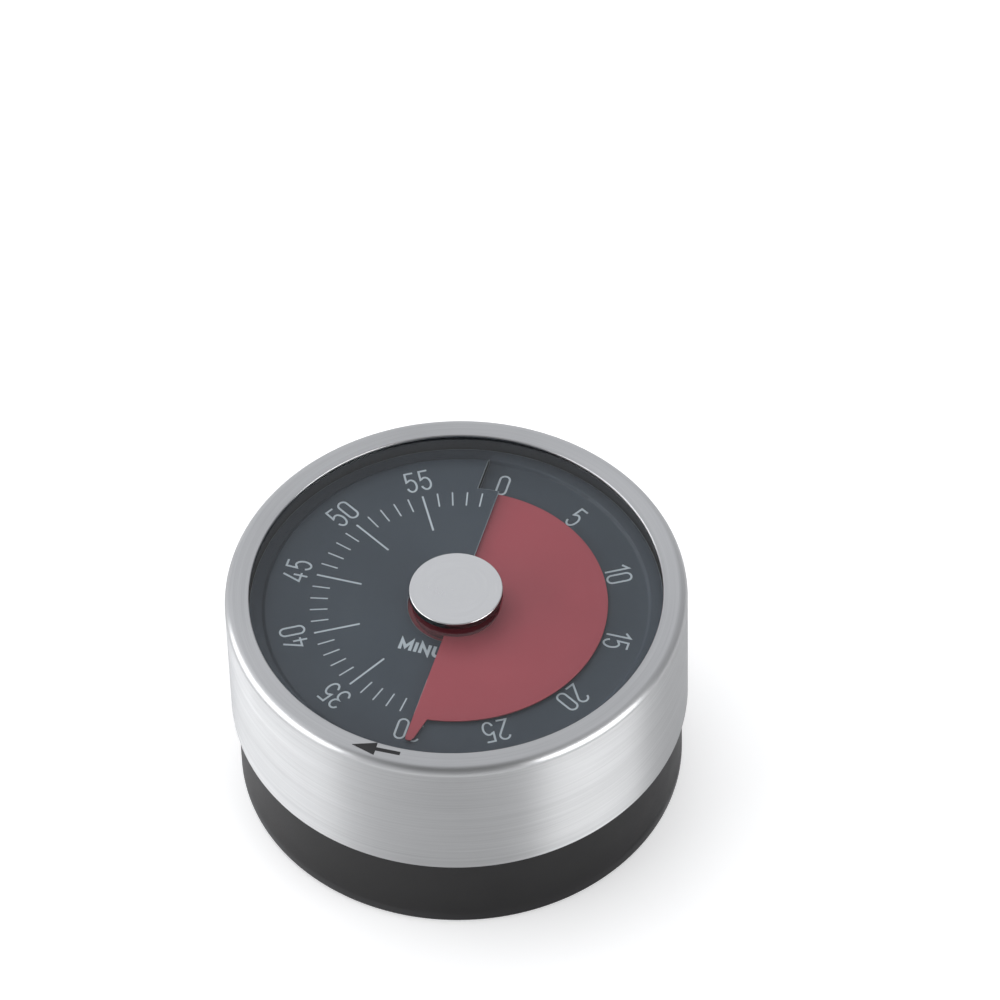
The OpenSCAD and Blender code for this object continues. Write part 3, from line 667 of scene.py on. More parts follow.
def place_pattern(nodes: Nodes, pattern: Pattern, vector: Socket, **values: float) -> bpy.types.Node:
    """Puts one of the shared groups into a material.

    Args:
        nodes: the material's nodes.
        pattern: which group.
        vector: where it reads its coordinates.
        **values: its other inputs, with _ for a space in a name.

    Returns:
        The group node.
    """
    node = nodes.add("ShaderNodeGroup", node_tree=bpy.data.node_groups[pattern.value])
    nodes.tree.links.new(vector, node.inputs["Vector"])
    for key, value in values.items():
        node.inputs[key.replace("_", " ")].default_value = value
    return node


def new_material(name: str) -> tuple[bpy.types.Material, Nodes, Socket]:
    """Starts a material.

    Args:
        name: the material's name.

    Returns:
        The material, its nodes without any shader, and the Object coordinates.
    """
    material = bpy.data.materials.new(name)
    material.use_nodes = True
    material.node_tree.nodes.clear()
    nodes = Nodes(material.node_tree)
    return material, nodes, nodes.add("ShaderNodeTexCoord").outputs["Object"]


def show(nodes: Nodes, shader: bpy.types.Node) -> None:
    """Sends a shader to the material's output."""
    nodes.add("ShaderNodeOutputMaterial", {"Surface": shader.outputs[0]})


# ---------- finishes ----------


@dataclass(frozen=True)
class BrushedSteel:
    """Steel with fine lines round the turning axis, across which its gloss is spread."""

    name: str
    dark: Colour
    light: Colour
    gloss: float = 0.3
    gloss_change: float = 0.1
    spread: float = 0.7
    around: float = 2.5
    across: float = 8000.0
    line_depth: float = 0.25
    smudge: float = 0.03

    def build(self) -> bpy.types.Material:
        """Makes the material: lines and bands drive colour, roughness and bump.

        Returns:
            The material.
        """
        material, nodes, place = new_material(self.name)
        lines = place_pattern(nodes, Pattern.TURNED, place, Around=self.around, Across=self.across)
        marks = place_pattern(nodes, Pattern.HANDLING, place)
        both = nodes.math("ADD", nodes.math("MULTIPLY", lines.outputs["Lines"], 0.5),
                          nodes.math("MULTIPLY", lines.outputs["Bands"], 0.5))
        rough = nodes.spread(lines.outputs["Bands"], self.gloss, self.gloss + self.gloss_change)
        rough = nodes.math("ADD", rough, nodes.math("MULTIPLY", marks.outputs["Smudge"], self.smudge))
        bump = nodes.add("ShaderNodeBump", {"Height": both, "Strength": self.line_depth,
                                            "Distance": LINE_RELIEF})
        tangent = nodes.add("ShaderNodeTangent", direction_type="UV_MAP", uv_map="turned")
        show(nodes, nodes.add("ShaderNodeBsdfPrincipled", {
            "Base Color": nodes.mix(nodes.spread(both, 0, 1, 0.35, 0.65), self.dark, self.light),
            "Metallic": 1.0,
            "Roughness": rough,
            "Anisotropic": self.spread,
            "Anisotropic Rotation": QUARTER_TURN,
            "Tangent": tangent.outputs[0],
            "Normal": bump.outputs[0],
        }))
        return material


@dataclass(frozen=True)
class StampedMetal:
    """Sheet or bar metal with straight rolling lines, for the movement's parts."""

    name: str
    dark: Colour
    light: Colour
    gloss: float = 0.3
    gloss_change: float = 0.12
    across: float = 5000.0
    line_depth: float = 0.2
    smudge: float = 0.08
    smudge_scale: float = 150.0

    def build(self) -> bpy.types.Material:
        """Makes the material: rolling lines drive colour, roughness and bump.

        Returns:
            The material.
        """
        material, nodes, place = new_material(self.name)
        lines = place_pattern(nodes, Pattern.ROLLED, place, Across=self.across).outputs["Lines"]
        marks = place_pattern(nodes, Pattern.HANDLING, place, Patch_Scale=self.smudge_scale)
        rough = nodes.spread(lines, self.gloss, self.gloss + self.gloss_change)
        rough = nodes.math("ADD", rough, nodes.math("MULTIPLY", marks.outputs["Smudge"], self.smudge))
        bump = nodes.add("ShaderNodeBump", {"Height": lines, "Strength": self.line_depth,
                                            "Distance": LINE_RELIEF})
        show(nodes, nodes.add("ShaderNodeBsdfPrincipled", {
            "Base Color": nodes.mix(nodes.spread(lines, 0, 1), self.dark, self.light),
            "Metallic": 1.0,
            "Roughness": rough,
            "Normal": bump.outputs[0],
        }))
        return material


@dataclass(frozen=True)
class Moulded:
    """A moulded, painted or printed surface with a fine grain and a slow change of tone."""

    name: str
    dark: Colour
    light: Colour
    gloss: float = 0.5
    gloss_change: float = 0.08
    grain_scale: float = 4000.0
    grain_depth: float = 0.2
    specular: float = 0.5
    smudge: float = 0.04

    def build(self) -> bpy.types.Material:
        """Makes the material: tone drives colour, grain and smudges drive roughness, grain the bump.

        Returns:
            The material.
        """
        material, nodes, place = new_material(self.name)
        grain = place_pattern(nodes, Pattern.GRAIN, place, Grain_Scale=self.grain_scale)
        marks = place_pattern(nodes, Pattern.HANDLING, place)
        rough = nodes.spread(grain.outputs["Grain"], self.gloss, self.gloss + self.gloss_change)
        rough = nodes.math("SUBTRACT", rough,
                           nodes.math("MULTIPLY", marks.outputs["Smudge"], self.smudge))
        bump = nodes.add("ShaderNodeBump", {"Height": grain.outputs["Grain"],
                                            "Strength": self.grain_depth, "Distance": GRAIN_RELIEF})
        show(nodes, nodes.add("ShaderNodeBsdfPrincipled", {
            "Base Color": nodes.mix(nodes.spread(grain.outputs["Tone"], 0, 1), self.dark, self.light),
            "Roughness": rough,
            "Specular IOR Level": self.specular,
            "Normal": bump.outputs[0],
        }))
        return material


@dataclass(frozen=True)
class ClearPlastic:
    """A clear polished lens, through which lamps and soft light still reach the dial."""

    name: str
    tint: Colour = (0.97, 0.98, 0.985)
    index: float = 1.49
    glare: float = 0.15
    smudge: float = 0.05
    smudge_gloss: float = 0.25

    def build(self) -> bpy.types.Material:
        """Makes the material: clear Principled to the viewer, plain transparent to all light behind it.

        Returns:
            The material.
        """
        material, nodes, place = new_material(self.name)
        marks = place_pattern(nodes, Pattern.HANDLING, place)
        clear = nodes.add("ShaderNodeBsdfPrincipled", {
            "Base Color": (*self.tint, 1),
            "Roughness": 0.0,
            "Coat Weight": nodes.spread(marks.outputs["Smudge"], 0.0, self.smudge, 0.0, 1.0),
            "Coat Roughness": self.smudge_gloss,
            "IOR": self.index,
            "Specular IOR Level": self.glare,
            "Transmission Weight": 1.0,
        })
        straight = nodes.add("ShaderNodeBsdfTransparent", {"Color": (*self.tint, 1)})
        rays = nodes.add("ShaderNodeLightPath").outputs
        soft = nodes.math("MAXIMUM", rays["Is Shadow Ray"], rays["Is Diffuse Ray"])
        soft = nodes.math("MAXIMUM", soft, rays["Is Glossy Ray"])
        show(nodes, nodes.add("ShaderNodeMixShader", {0: soft, 1: clear.outputs[0],
                                                      2: straight.outputs[0]}))
        return material


STEEL = BrushedSteel("brushed_steel", dark=(0.55, 0.555, 0.56), light=(0.65, 0.655, 0.66), gloss=0.42,
                     gloss_change=0.06, spread=0.9, across=12000.0, line_depth=0.04)
RIM = BrushedSteel("brushed_rim", dark=(0.53, 0.535, 0.54), light=(0.61, 0.615, 0.62), gloss=0.3,
                   gloss_change=0.05, spread=0.75, across=12000.0, line_depth=0.03)
BUTTON = BrushedSteel("satin_button", dark=(0.69, 0.695, 0.7), light=(0.72, 0.725, 0.73), gloss=0.24,
                      gloss_change=0.02, spread=0.0, across=14000.0, line_depth=0.01)
# A near-black copy of the button's steel for its side and spigot: painted shade, standing for the dark
# dial mirrored in the side.
BUTTON_SIDE_PAINTED_SHADE = BrushedSteel("button_side_painted_shade", dark=(0.08, 0.09, 0.09), light=(0.11, 0.12, 0.12), gloss=0.4,
                           gloss_change=0.05, spread=0.0, line_depth=0.02)
PLATED = StampedMetal("plated_steel", dark=(0.5, 0.5, 0.51), light=(0.66, 0.66, 0.67))
DARK_STEEL = StampedMetal("hardened_steel", dark=(0.2, 0.2, 0.21), light=(0.32, 0.32, 0.34))
BLUED = StampedMetal("spring_steel", dark=(0.12, 0.13, 0.17), light=(0.22, 0.23, 0.28), gloss=0.25)
BRASS = StampedMetal("stamped_brass", dark=(0.55, 0.38, 0.14), light=(0.74, 0.55, 0.24))
BELL = StampedMetal("bell_metal", dark=(0.55, 0.52, 0.46), light=(0.7, 0.67, 0.6), gloss=0.18)
NICKEL = StampedMetal("magnet_nickel", dark=(0.3, 0.3, 0.31), light=(0.42, 0.42, 0.43), gloss=0.35)
BASE_BLACK = Moulded("base_black", dark=(0.004, 0.0035, 0.004), light=(0.006, 0.0055, 0.006), gloss=0.4,
                     gloss_change=0.03, grain_depth=0.05, specular=0.4)
LINER_BLACK = Moulded("liner_black", dark=(0.009, 0.012, 0.015), light=(0.014, 0.018, 0.022),
                      gloss=0.4, grain_depth=0.05)
HUB_BLACK = Moulded("hub_black", dark=(0.01, 0.01, 0.01), light=(0.02, 0.02, 0.02), gloss=0.45)
RUBBER = Moulded("foot_rubber", dark=(0.006, 0.006, 0.006), light=(0.014, 0.014, 0.014), gloss=0.75,
                 grain_scale=2500.0, grain_depth=0.4, specular=0.3)
DIAL_GREY = Moulded("dial_grey", dark=(0.03, 0.042, 0.057), light=(0.034, 0.047, 0.062), gloss=0.5,
                    gloss_change=0.01, grain_depth=0.01, specular=0.45)
CUT_EDGE = Moulded("cut_edge", dark=(0.2, 0.23, 0.25), light=(0.26, 0.29, 0.31), grain_depth=0.02)
DISC_RED = Moulded("disc_red", dark=(0.34, 0.044, 0.06), light=(0.36, 0.048, 0.065), gloss=0.5,
                   gloss_change=0.01, grain_depth=0.01, specular=0.5)
# A dark copy of the disc's red for the hub: painted shade where the button shadows it.
HUB_RED_PAINTED_SHADE = Moulded("hub_red_painted_shade", dark=(0.1, 0.012, 0.018), light=(0.12, 0.015, 0.022), gloss=0.6,
                  gloss_change=0.02, grain_depth=0.02, specular=0.2)
INK_WHITE = Moulded("ink_white", dark=(0.44, 0.49, 0.52), light=(0.5, 0.55, 0.58), gloss=0.45,
                    gloss_change=0.02, grain_scale=9000.0, grain_depth=0.02)
INK_BLACK = Moulded("ink_black", dark=(0.008, 0.008, 0.009), light=(0.014, 0.014, 0.015), gloss=0.4,
                    grain_scale=9000.0, grain_depth=0.1)
LENS_CLEAR = ClearPlastic("lens_clear")

Finish = BrushedSteel | StampedMetal | Moulded | ClearPlastic


@dataclass
class PaintShop:
    """Builds each finish once and dresses objects with it."""

    made: dict[str, bpy.types.Material] = field(default_factory=dict)

    def material(self, finish: Finish) -> bpy.types.Material:
        """The finish's material, built on first use.

        Args:
            finish: the finish.

        Returns:
            Its material.
        """
        if finish.name not in self.made:
            self.made[finish.name] = finish.build()
        return self.made[finish.name]

    def dress(self, obj: bpy.types.Object, *finishes: Finish) -> None:
        """Gives a new piece its finishes, one to a slot."""
        for finish in finishes:
            obj.data.materials.append(self.material(finish))

    def dress_node(self, name: str, finish: Finish) -> None:
        """Gives a carried-over node its finish on its object's slots.

        Args:
            name: the node's name in the frame.
            finish: its finish.
        """
        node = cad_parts[name]
        for slot in node.material_slots:
            slot.link = "OBJECT"
            slot.material = self.material(finish)


def second_finish(obj: bpy.types.Object, chosen: Callable[[Array], Array]) -> None:
    """Gives some of a piece's faces the second of its finishes.

    Args:
        obj: the piece.
        chosen: tells from the faces' centres, one to a row, which of them.
    """
    centres = np.empty(3 * len(obj.data.polygons))
    obj.data.polygons.foreach_get("center", centres)
    index = chosen(centres.reshape(-1, 3)).astype(np.int32)
    obj.data.polygons.foreach_set("material_index", index)


def settle(obj: bpy.types.Object, body: str, slot: str, *stands_for: str) -> None:
    """Puts a finished piece on its body and hides the nodes it stands for.

    Args:
        obj: the piece.
        body: the body it rides on.
        slot: not used.
        *stands_for: names of the nodes that it replaces.
    """
    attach(obj, body)
    if stands_for:
        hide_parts(*stands_for)
    LOG.info("%s: %d faces, rides on %s", obj.name, len(obj.data.polygons), body)


# ---------- sub-assemblies ----------


@dataclass
class Base:
    """The moulded housing with its neck, the rubber foot ring and the holding magnet."""

    wall: float = 2.0 * MM
    floor: float = 2.2 * MM
    neck_r: float = 33.9 * MM
    neck_wall: float = 1.7 * MM
    bead: float = 0.35 * MM
    bead_h: float = 1.2 * MM
    bead_below_seat: float = 1.0 * MM
    shoulder_z: float = 15.7 * MM
    shoulder_t: float = 2.0 * MM
    foot_corner: float = 0.6 * MM
    foot_w: float = 8.9 * MM
    foot_fit: float = 0.05 * MM
    boss_r: float = 3.2 * MM
    boss_bore_r: float = 1.1 * MM
    boss_bore_end: float = 1.0 * MM
    boss_around: int = 48
    boss_at: float = 29.4 * MM
    boss_turns: tuple[float, ...] = (60.0, 180.0, 300.0)
    pocket_wall: float = 1.5 * MM
    pocket_roof: float = 0.9 * MM
    gap: float = 0.1 * MM
    soft: float = 0.15 * MM
    groove_count: int = 5
    groove_depth: float = 0.22 * MM
    magnet_edge: float = 0.3 * MM
    magnet_around: int = 120

    def build(self, shop: PaintShop) -> None:
        """Builds and dresses the three pieces.

        Args:
            shop: where their finishes come from.
        """
        self.housing(shop)
        self.foot_ring(shop)
        self.magnet(shop)

    def housing(self, shop: PaintShop) -> None:
        """The housing: one turned section from under the magnet pocket round to its roof, and bosses.

        Args:
            shop: where its finish comes from.
        """
        low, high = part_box("base_housing")
        _, foot_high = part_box("foot_pad")
        _, magnet_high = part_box("magnet")
        plate_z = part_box("back_plate")[0].z
        r, soft = high.x, self.soft
        floor_top = low.z + self.floor
        foot_out = foot_high.x + self.foot_fit
        foot_in = foot_high.x - self.foot_w - self.foot_fit
        pocket_r, pocket_z = magnet_high.x + self.gap, magnet_high.z + self.gap
        neck_in = self.neck_r - self.neck_wall
        bead_top = high.z - self.bead_below_seat
        bead_r = self.neck_r + self.bead
        section = [
            Corner(0, pocket_z), Corner(pocket_r, pocket_z, soft), Corner(pocket_r, low.z, soft),
            Corner(foot_in, low.z, soft), Corner(foot_in, foot_high.z, soft),
            Corner(foot_out, foot_high.z, soft), Corner(foot_out, low.z, soft),
            Corner(r, low.z, self.foot_corner), Corner(r, self.shoulder_z, 2 * soft),
            Corner(self.neck_r, self.shoulder_z, soft),
            Corner(self.neck_r, bead_top - self.bead_h, soft),
            Corner(bead_r, bead_top - self.bead_h, soft), Corner(bead_r, bead_top, soft),
            Corner(self.neck_r, bead_top, soft), Corner(self.neck_r, high.z, soft),
            Corner(neck_in, high.z, soft), Corner(neck_in, self.shoulder_z - self.shoulder_t, soft),
            Corner(r - self.wall, self.shoulder_z - self.shoulder_t, 2 * soft),
            Corner(r - self.wall, floor_top, 4 * soft),
            Corner(pocket_r + self.pocket_wall, floor_top, soft),
            Corner(pocket_r + self.pocket_wall, pocket_z + self.pocket_roof, soft),
            Corner(0, pocket_z + self.pocket_roof),
        ]
        bore_z = floor_top + self.boss_bore_end
        boss = rounded_outline([
            Corner(0, floor_top - 2 * soft), Corner(self.boss_r, floor_top - 2 * soft, soft),
            Corner(self.boss_r, plate_z, soft), Corner(self.boss_bore_r, plate_z, soft),
            Corner(self.boss_bore_r, bore_z, soft), Corner(0, bore_z),
        ])
        turnings = [Turning(rounded_outline(section))]
        for turn in self.boss_turns:
            a = math.radians(turn)
            centre = (self.boss_at * math.cos(a), self.boss_at * math.sin(a))
            turnings.append(Turning(boss, centre, self.boss_around))
        obj = turned("base_shell", turnings)
        shop.dress(obj, BASE_BLACK)
        settle(obj, "base", "base_black", "base_housing")

    def foot_ring(self, shop: PaintShop) -> None:
        """The rubber ring, with shallow grooves round its underside.

        Args:
            shop: where its finish comes from.
        """
        low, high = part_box("foot_pad")
        inner, soft = high.x - self.foot_w, self.soft
        pitch = (high.x - inner) / (2 * self.groove_count + 1)
        section = [Corner(inner, low.z, soft)]
        for k in range(self.groove_count):
            start = inner + (2 * k + 1) * pitch
            depth = low.z + self.groove_depth
            section += [Corner(start, low.z, soft / 2), Corner(start, depth, soft / 2),
                        Corner(start + pitch, depth, soft / 2), Corner(start + pitch, low.z, soft / 2)]
        section += [Corner(high.x, low.z, soft), Corner(high.x, high.z, soft),
                    Corner(inner, high.z, soft)]
        obj = turned("rubber_foot", [Turning(rounded_outline(section))])
        shop.dress(obj, RUBBER)
        settle(obj, "base", "foot_rubber", "foot_pad")

    def magnet(self, shop: PaintShop) -> None:
        """The disc magnet with its ground edge.

        Args:
            shop: where its finish comes from.
        """
        low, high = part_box("magnet")
        edge = self.magnet_edge
        section = [Corner(0, low.z), Corner(high.x, low.z, edge), Corner(high.x, high.z, edge),
                   Corner(0, high.z)]
        obj = turned("holding_magnet", [Turning(rounded_outline(section), around=self.magnet_around)])
        shop.dress(obj, NICKEL)
        settle(obj, "base", "magnet_metal", "magnet")


@dataclass
class Dial:
    """The helical dial with its slit, and everything printed on it."""

    thickness: float = 0.5 * MM
    slit_r: float = 25.2 * MM
    slit_jog: float = 3.6 * MM
    hole_r: float = 8.0 * MM
    wall_in_r: float = 31.4 * MM
    wall_out_r: float = 32.1 * MM
    edge: float = 0.14 * MM
    last_degree: int = 351
    ink: float = 0.02 * MM
    minutes: int = 60
    long_tick: tuple[float, float] = (16.3 * MM, 24.0 * MM)
    short_tick: tuple[float, float] = (21.2 * MM, 24.1 * MM)
    long_tick_w: float = 0.32 * MM
    short_tick_w: float = 0.24 * MM
    numeral_r: float = 27.4 * MM
    numeral_h: float = 4.05 * MM
    numeral_w: float = 0.4
    numeral_gap: float = 0.8 * MM
    pen: float = 0.34 * MM
    word: str = "MINUTES"
    word_y: float = -10.4 * MM
    word_h: float = 2.0 * MM
    word_gap: float = 0.85 * MM
    word_pen: float = 0.55 * MM

    def __post_init__(self) -> None:
        """Reads the dial's height, rise and radius from the frame."""
        low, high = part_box("dial_plate")
        self.radius = high.x
        self.middle = (low.z + high.z) / 2
        self.rise = high.z - low.z - self.thickness

    def height(self, r: Array, phi: Array) -> Array:
        """Height of the dial's middle surface.

        The ramp rises evenly with the clock angle, and a smooth step brings it to the flat
        flange between the wall's two radii.

        Args:
            r: radius.
            phi: clock angle in degrees.

        Returns:
            The height of each point.
        """
        ramp = self.middle + self.rise * (phi / 360 - 0.5)
        share = smooth_step((r - self.wall_in_r) / (self.wall_out_r - self.wall_in_r))
        return ramp + (self.middle - ramp) * share

    def build(self, shop: PaintShop) -> None:
        """Builds and dresses the plate and its print.

        Args:
            shop: where their finishes come from.
        """
        plate = sheets("dial_face", [self.plate()])
        soften_edges(plate, self.edge, material=1)
        shop.dress(plate, DIAL_GREY, CUT_EDGE)
        settle(plate, "base", "dial_grey", "dial_plate")
        marks = sheets("dial_marks", self.ticks() + self.numerals() + self.lettering())
        shop.dress(marks, INK_WHITE)
        settle(marks, "base", "dial_grey")

    def jog_angle(self, r: Array) -> Array:
        """Clock angle by which the slit's outer part stands before 0, in degrees."""
        return np.degrees(np.arcsin(self.slit_jog / np.maximum(r, self.slit_r)))

    def plate(self) -> Sheet:
        """The dial plate.

        Rows are circles and columns clock angles. Inside the slit's corner the ramp runs from 0
        to 360 degrees. Outside it, it starts and ends at minus the angle whose sine is the jog
        over the radius. So the columns before 0 belong to the outer rows only and the last ones
        to the inner rows only, and the flange's first and last columns are one. Between the two
        runs of crowded columns there is one at each whole degree.

        Returns:
            The plate as a closed sheet.
        """
        inner = np.linspace(self.hole_r, self.slit_r, 5)
        outer = np.linspace(self.slit_r, self.wall_in_r, 4)[1:]
        wall = np.linspace(self.wall_in_r, self.wall_out_r, 8)[1:]
        r = np.concatenate([inner, outer, wall, [self.radius]])
        corner_row = len(inner) - 1
        jog = self.jog_angle(r)
        few, most = np.linspace(0, 1, 7), np.arange(1, self.last_degree + 1)
        before = -jog[:, None] * (1 - few[:-1])
        after = 360 - jog[:, None] * (1 - few)
        phi = np.concatenate([before, np.zeros((len(r), 1)), np.tile(most, (len(r), 1)), after], axis=1)
        rows, cols = phi.shape
        first_inner, last_outer = len(few) - 1, cols - len(few)
        x, y = clock(r[:, None], phi)
        middle = np.stack([x, y, self.height(r[:, None], phi)], axis=-1).reshape(-1, 3)
        quads = grid_quads(rows, cols)[:, ::-1]
        cell_row, cell_col = np.divmod(np.arange(len(quads)), cols - 1)
        is_inner = cell_row < corner_row
        keep = np.where(is_inner, cell_col >= first_inner, cell_col < last_outer)
        quads = quads[keep]
        flange_row = corner_row + len(outer) + len(wall)
        row, col = np.divmod(quads, cols)
        quads = np.where((row >= flange_row) & (col == last_outer), row * cols, quads)
        half = np.array([0, 0, self.thickness / 2])
        return Sheet(middle + half, middle - half, quads)

    def printed(self, path: Array, width: float, lift: float = 0.0) -> Sheet:
        """One stroke of ink that follows the dial's surface.

        Args:
            path: the stroke's middle in plan.
            width: the pen's width.
            lift: extra height, so that crossing strokes don't lie in one plane.

        Returns:
            The stroke as a closed sheet.
        """
        plan, quads = ribbon(path, width)
        r = np.linalg.norm(plan, axis=1)
        start = np.where(r > self.slit_r, self.jog_angle(r), 0)
        phi = (np.degrees(np.arctan2(plan[:, 0], plan[:, 1])) + start) % 360 - start
        surface = self.height(r, phi) + self.thickness / 2
        top = np.column_stack([plan, surface + self.ink + lift])
        return Sheet(top, np.column_stack([plan, surface - self.ink]), quads)

    def ticks(self) -> list[Sheet]:
        """A tick for each minute but 0, where the slit is, and a long one every 5 minutes.

        Returns:
            One sheet for each tick.
        """
        made = []
        for minute in range(1, self.minutes):
            is_long = minute % 5 == 0
            ends = self.long_tick if is_long else self.short_tick
            width = self.long_tick_w if is_long else self.short_tick_w
            path = np.column_stack(clock(np.array(ends), 360 * minute / self.minutes))
            made.append(self.printed(path, width))
        return made

    def numerals(self) -> list[Sheet]:
        """The minutes in fives round the dial, their tops outwards.

        Returns:
            One sheet for each stroke.
        """
        glyphs, made = digit_glyphs(self.numeral_w), []
        for minute in range(0, self.minutes, 5):
            a = math.radians(360 * minute / self.minutes)
            across = np.array([math.cos(a), -math.sin(a)])
            out = np.array([math.sin(a), math.cos(a)])
            for k, stroke in enumerate(write(str(minute), glyphs, self.numeral_h, self.numeral_gap)):
                plan = stroke[:, :1] * across + (self.numeral_r + stroke[:, 1:]) * out
                made.append(self.printed(plan, self.pen, k * self.ink / 4))
        return made

    def lettering(self) -> list[Sheet]:
        """The word under the button, upright when 0 is at the top.

        Returns:
            One sheet for each stroke.
        """
        strokes = write(self.word, letter_glyphs(), self.word_h, self.word_gap)
        return [self.printed(s + [0, self.word_y], self.word_pen, k % 2 * self.ink / 4)
                for k, s in enumerate(strokes)]


@dataclass
class RedDisc:
    """The red helical disc with its pointer and hub."""

    thickness: float = 0.4 * MM
    radius: float = 24.9 * MM
    inner_r: float = 6.8 * MM
    rise: float = 1.8 * MM
    lead: float = 180.0
    pointer_r: float = 29.8 * MM
    pointer_root: float = 2.3 * MM
    pointer_tip: float = 0.6 * MM
    blend: float = 0.35 * MM
    fine_until: float = 9.0
    fine_step: float = 0.12
    edge: float = 0.06 * MM
    hub_r: float = 7.2 * MM
    hub_margin: float = 0.05 * MM
    bore_steps: int = 24
    bore_r: float = 4.48 * MM
    key_r: float = 5.44 * MM
    key_half: float = 0.64 * MM

    def __post_init__(self) -> None:
        """Reads the disc's heights from the frame."""
        self.low, self.high = (corner.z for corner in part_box("red_disc"))
        self.lead_z = self.low + self.rise + self.thickness

    def build(self, shop: PaintShop) -> None:
        """Builds and dresses the disc.

        Args:
            shop: where its finish comes from.
        """
        obj = sheets("red_sweep", [self.blade(), self.hub()])
        soften_edges(obj, self.edge)
        shop.dress(obj, DISC_RED, HUB_RED_PAINTED_SHADE)
        # Faces inside the hub's radius take the dark red copy: painted shade for the button's shadow on
        # the hub.
        second_finish(obj, lambda at: np.hypot(at[:, 0], at[:, 1]) < self.hub_r + self.hub_margin)
        settle(obj, "disc", "disc_red", "red_disc")

    def outer_radius(self, behind: Array) -> Array:
        """The disc's edge with the pointer.

        The pointer's back is the straight line from its root's width at the disc's edge to its
        tip's width at its end. In polar form that is c / (sin b + k cos b), with b the angle
        behind the leading edge. A circle of the tip's radius caps it, and a smooth maximum with
        the disc's radius rounds the inner corner.

        Args:
            behind: angle behind the leading edge, in degrees.

        Returns:
            The edge's radius at each angle.
        """
        b = np.radians(behind)
        lean = (self.pointer_root - 2 * self.pointer_tip) / (self.pointer_r - self.radius)
        reach = self.pointer_root + lean * self.radius
        back = reach / (np.sin(b) + lean * np.cos(b))
        tip_at = self.pointer_r - self.pointer_tip
        off = np.clip((b * tip_at - self.pointer_tip) / self.pointer_tip, -1, 1)
        tip = tip_at + self.pointer_tip * np.sqrt(1 - off**2)
        pointer = np.where(b * tip_at < 2 * self.pointer_tip, np.minimum(back, tip),
                           np.minimum(back, tip_at))
        pointer = np.where(behind < 90, pointer, 0)
        share = np.clip(0.5 + (pointer - self.radius) / (2 * self.blend), 0, 1)
        return self.radius * (1 - share) + pointer * share + self.blend * share * (1 - share)

    def blade(self) -> Sheet:
        """The helical sheet.

        Columns are angles behind the leading edge, close together at the pointer, and rows run
        from the hub to the edge. The height falls evenly by the rise in one turn.

        Returns:
            The disc without its hub, as a closed sheet.
        """
        behind = np.concatenate([np.arange(0, self.fine_until, self.fine_step),
                                 np.arange(self.fine_until, 360.5, 1.0)])
        share = np.array([0, 0.25, 0.5, 0.75, 0.9, 1.0])
        edge = self.outer_radius(behind)
        r = self.inner_r + share[:, None] * (edge - self.inner_r)
        phi = np.broadcast_to(self.lead - behind, r.shape)
        z = np.broadcast_to(self.lead_z - self.rise * behind / 360, r.shape)
        x, y = clock(r, phi)
        middle = np.stack([x, y, z], axis=-1).reshape(-1, 3)
        half = np.array([0, 0, self.thickness / 2])
        return Sheet(middle + half, middle - half, grid_quads(*r.shape))

    def hub(self) -> Sheet:
        """The hub: a ring whose bore has two keyways, so its inner contour steps out and in.

        Each half turn of the contour starts at the middle of a keyway, whose flanks lie at the
        angles whose sines are the keyway's half width over its own and over the bore's radius.

        Returns:
            The hub as a closed sheet.
        """
        at_key = math.degrees(math.asin(self.key_half / self.key_r))
        at_bore = math.degrees(math.asin(self.key_half / self.bore_r))
        at_wall = np.linspace(at_bore, 180 - at_bore, self.bore_steps)
        turn = np.concatenate([[0, at_key], at_wall, [180 - at_key]])
        r = np.concatenate([[self.key_r] * 2, [self.bore_r] * self.bore_steps, [self.key_r]])
        turn = np.radians(np.concatenate([turn, turn + 180, [360]]))
        r = np.concatenate([r, r, [self.key_r]])
        out = np.full_like(r, self.hub_r)
        plan = np.stack([np.concatenate([r * np.cos(turn), out * np.cos(turn)]),
                         np.concatenate([r * np.sin(turn), out * np.sin(turn)])], axis=1)
        n = len(r)
        quads = grid_quads(2, n)[:, ::-1]
        row, col = np.divmod(quads, n)
        quads = np.where(col == n - 1, row * n, quads)
        top = np.column_stack([plan, np.full(2 * n, self.high)])
        return Sheet(top, np.column_stack([plan, np.full(2 * n, self.low)]), quads)


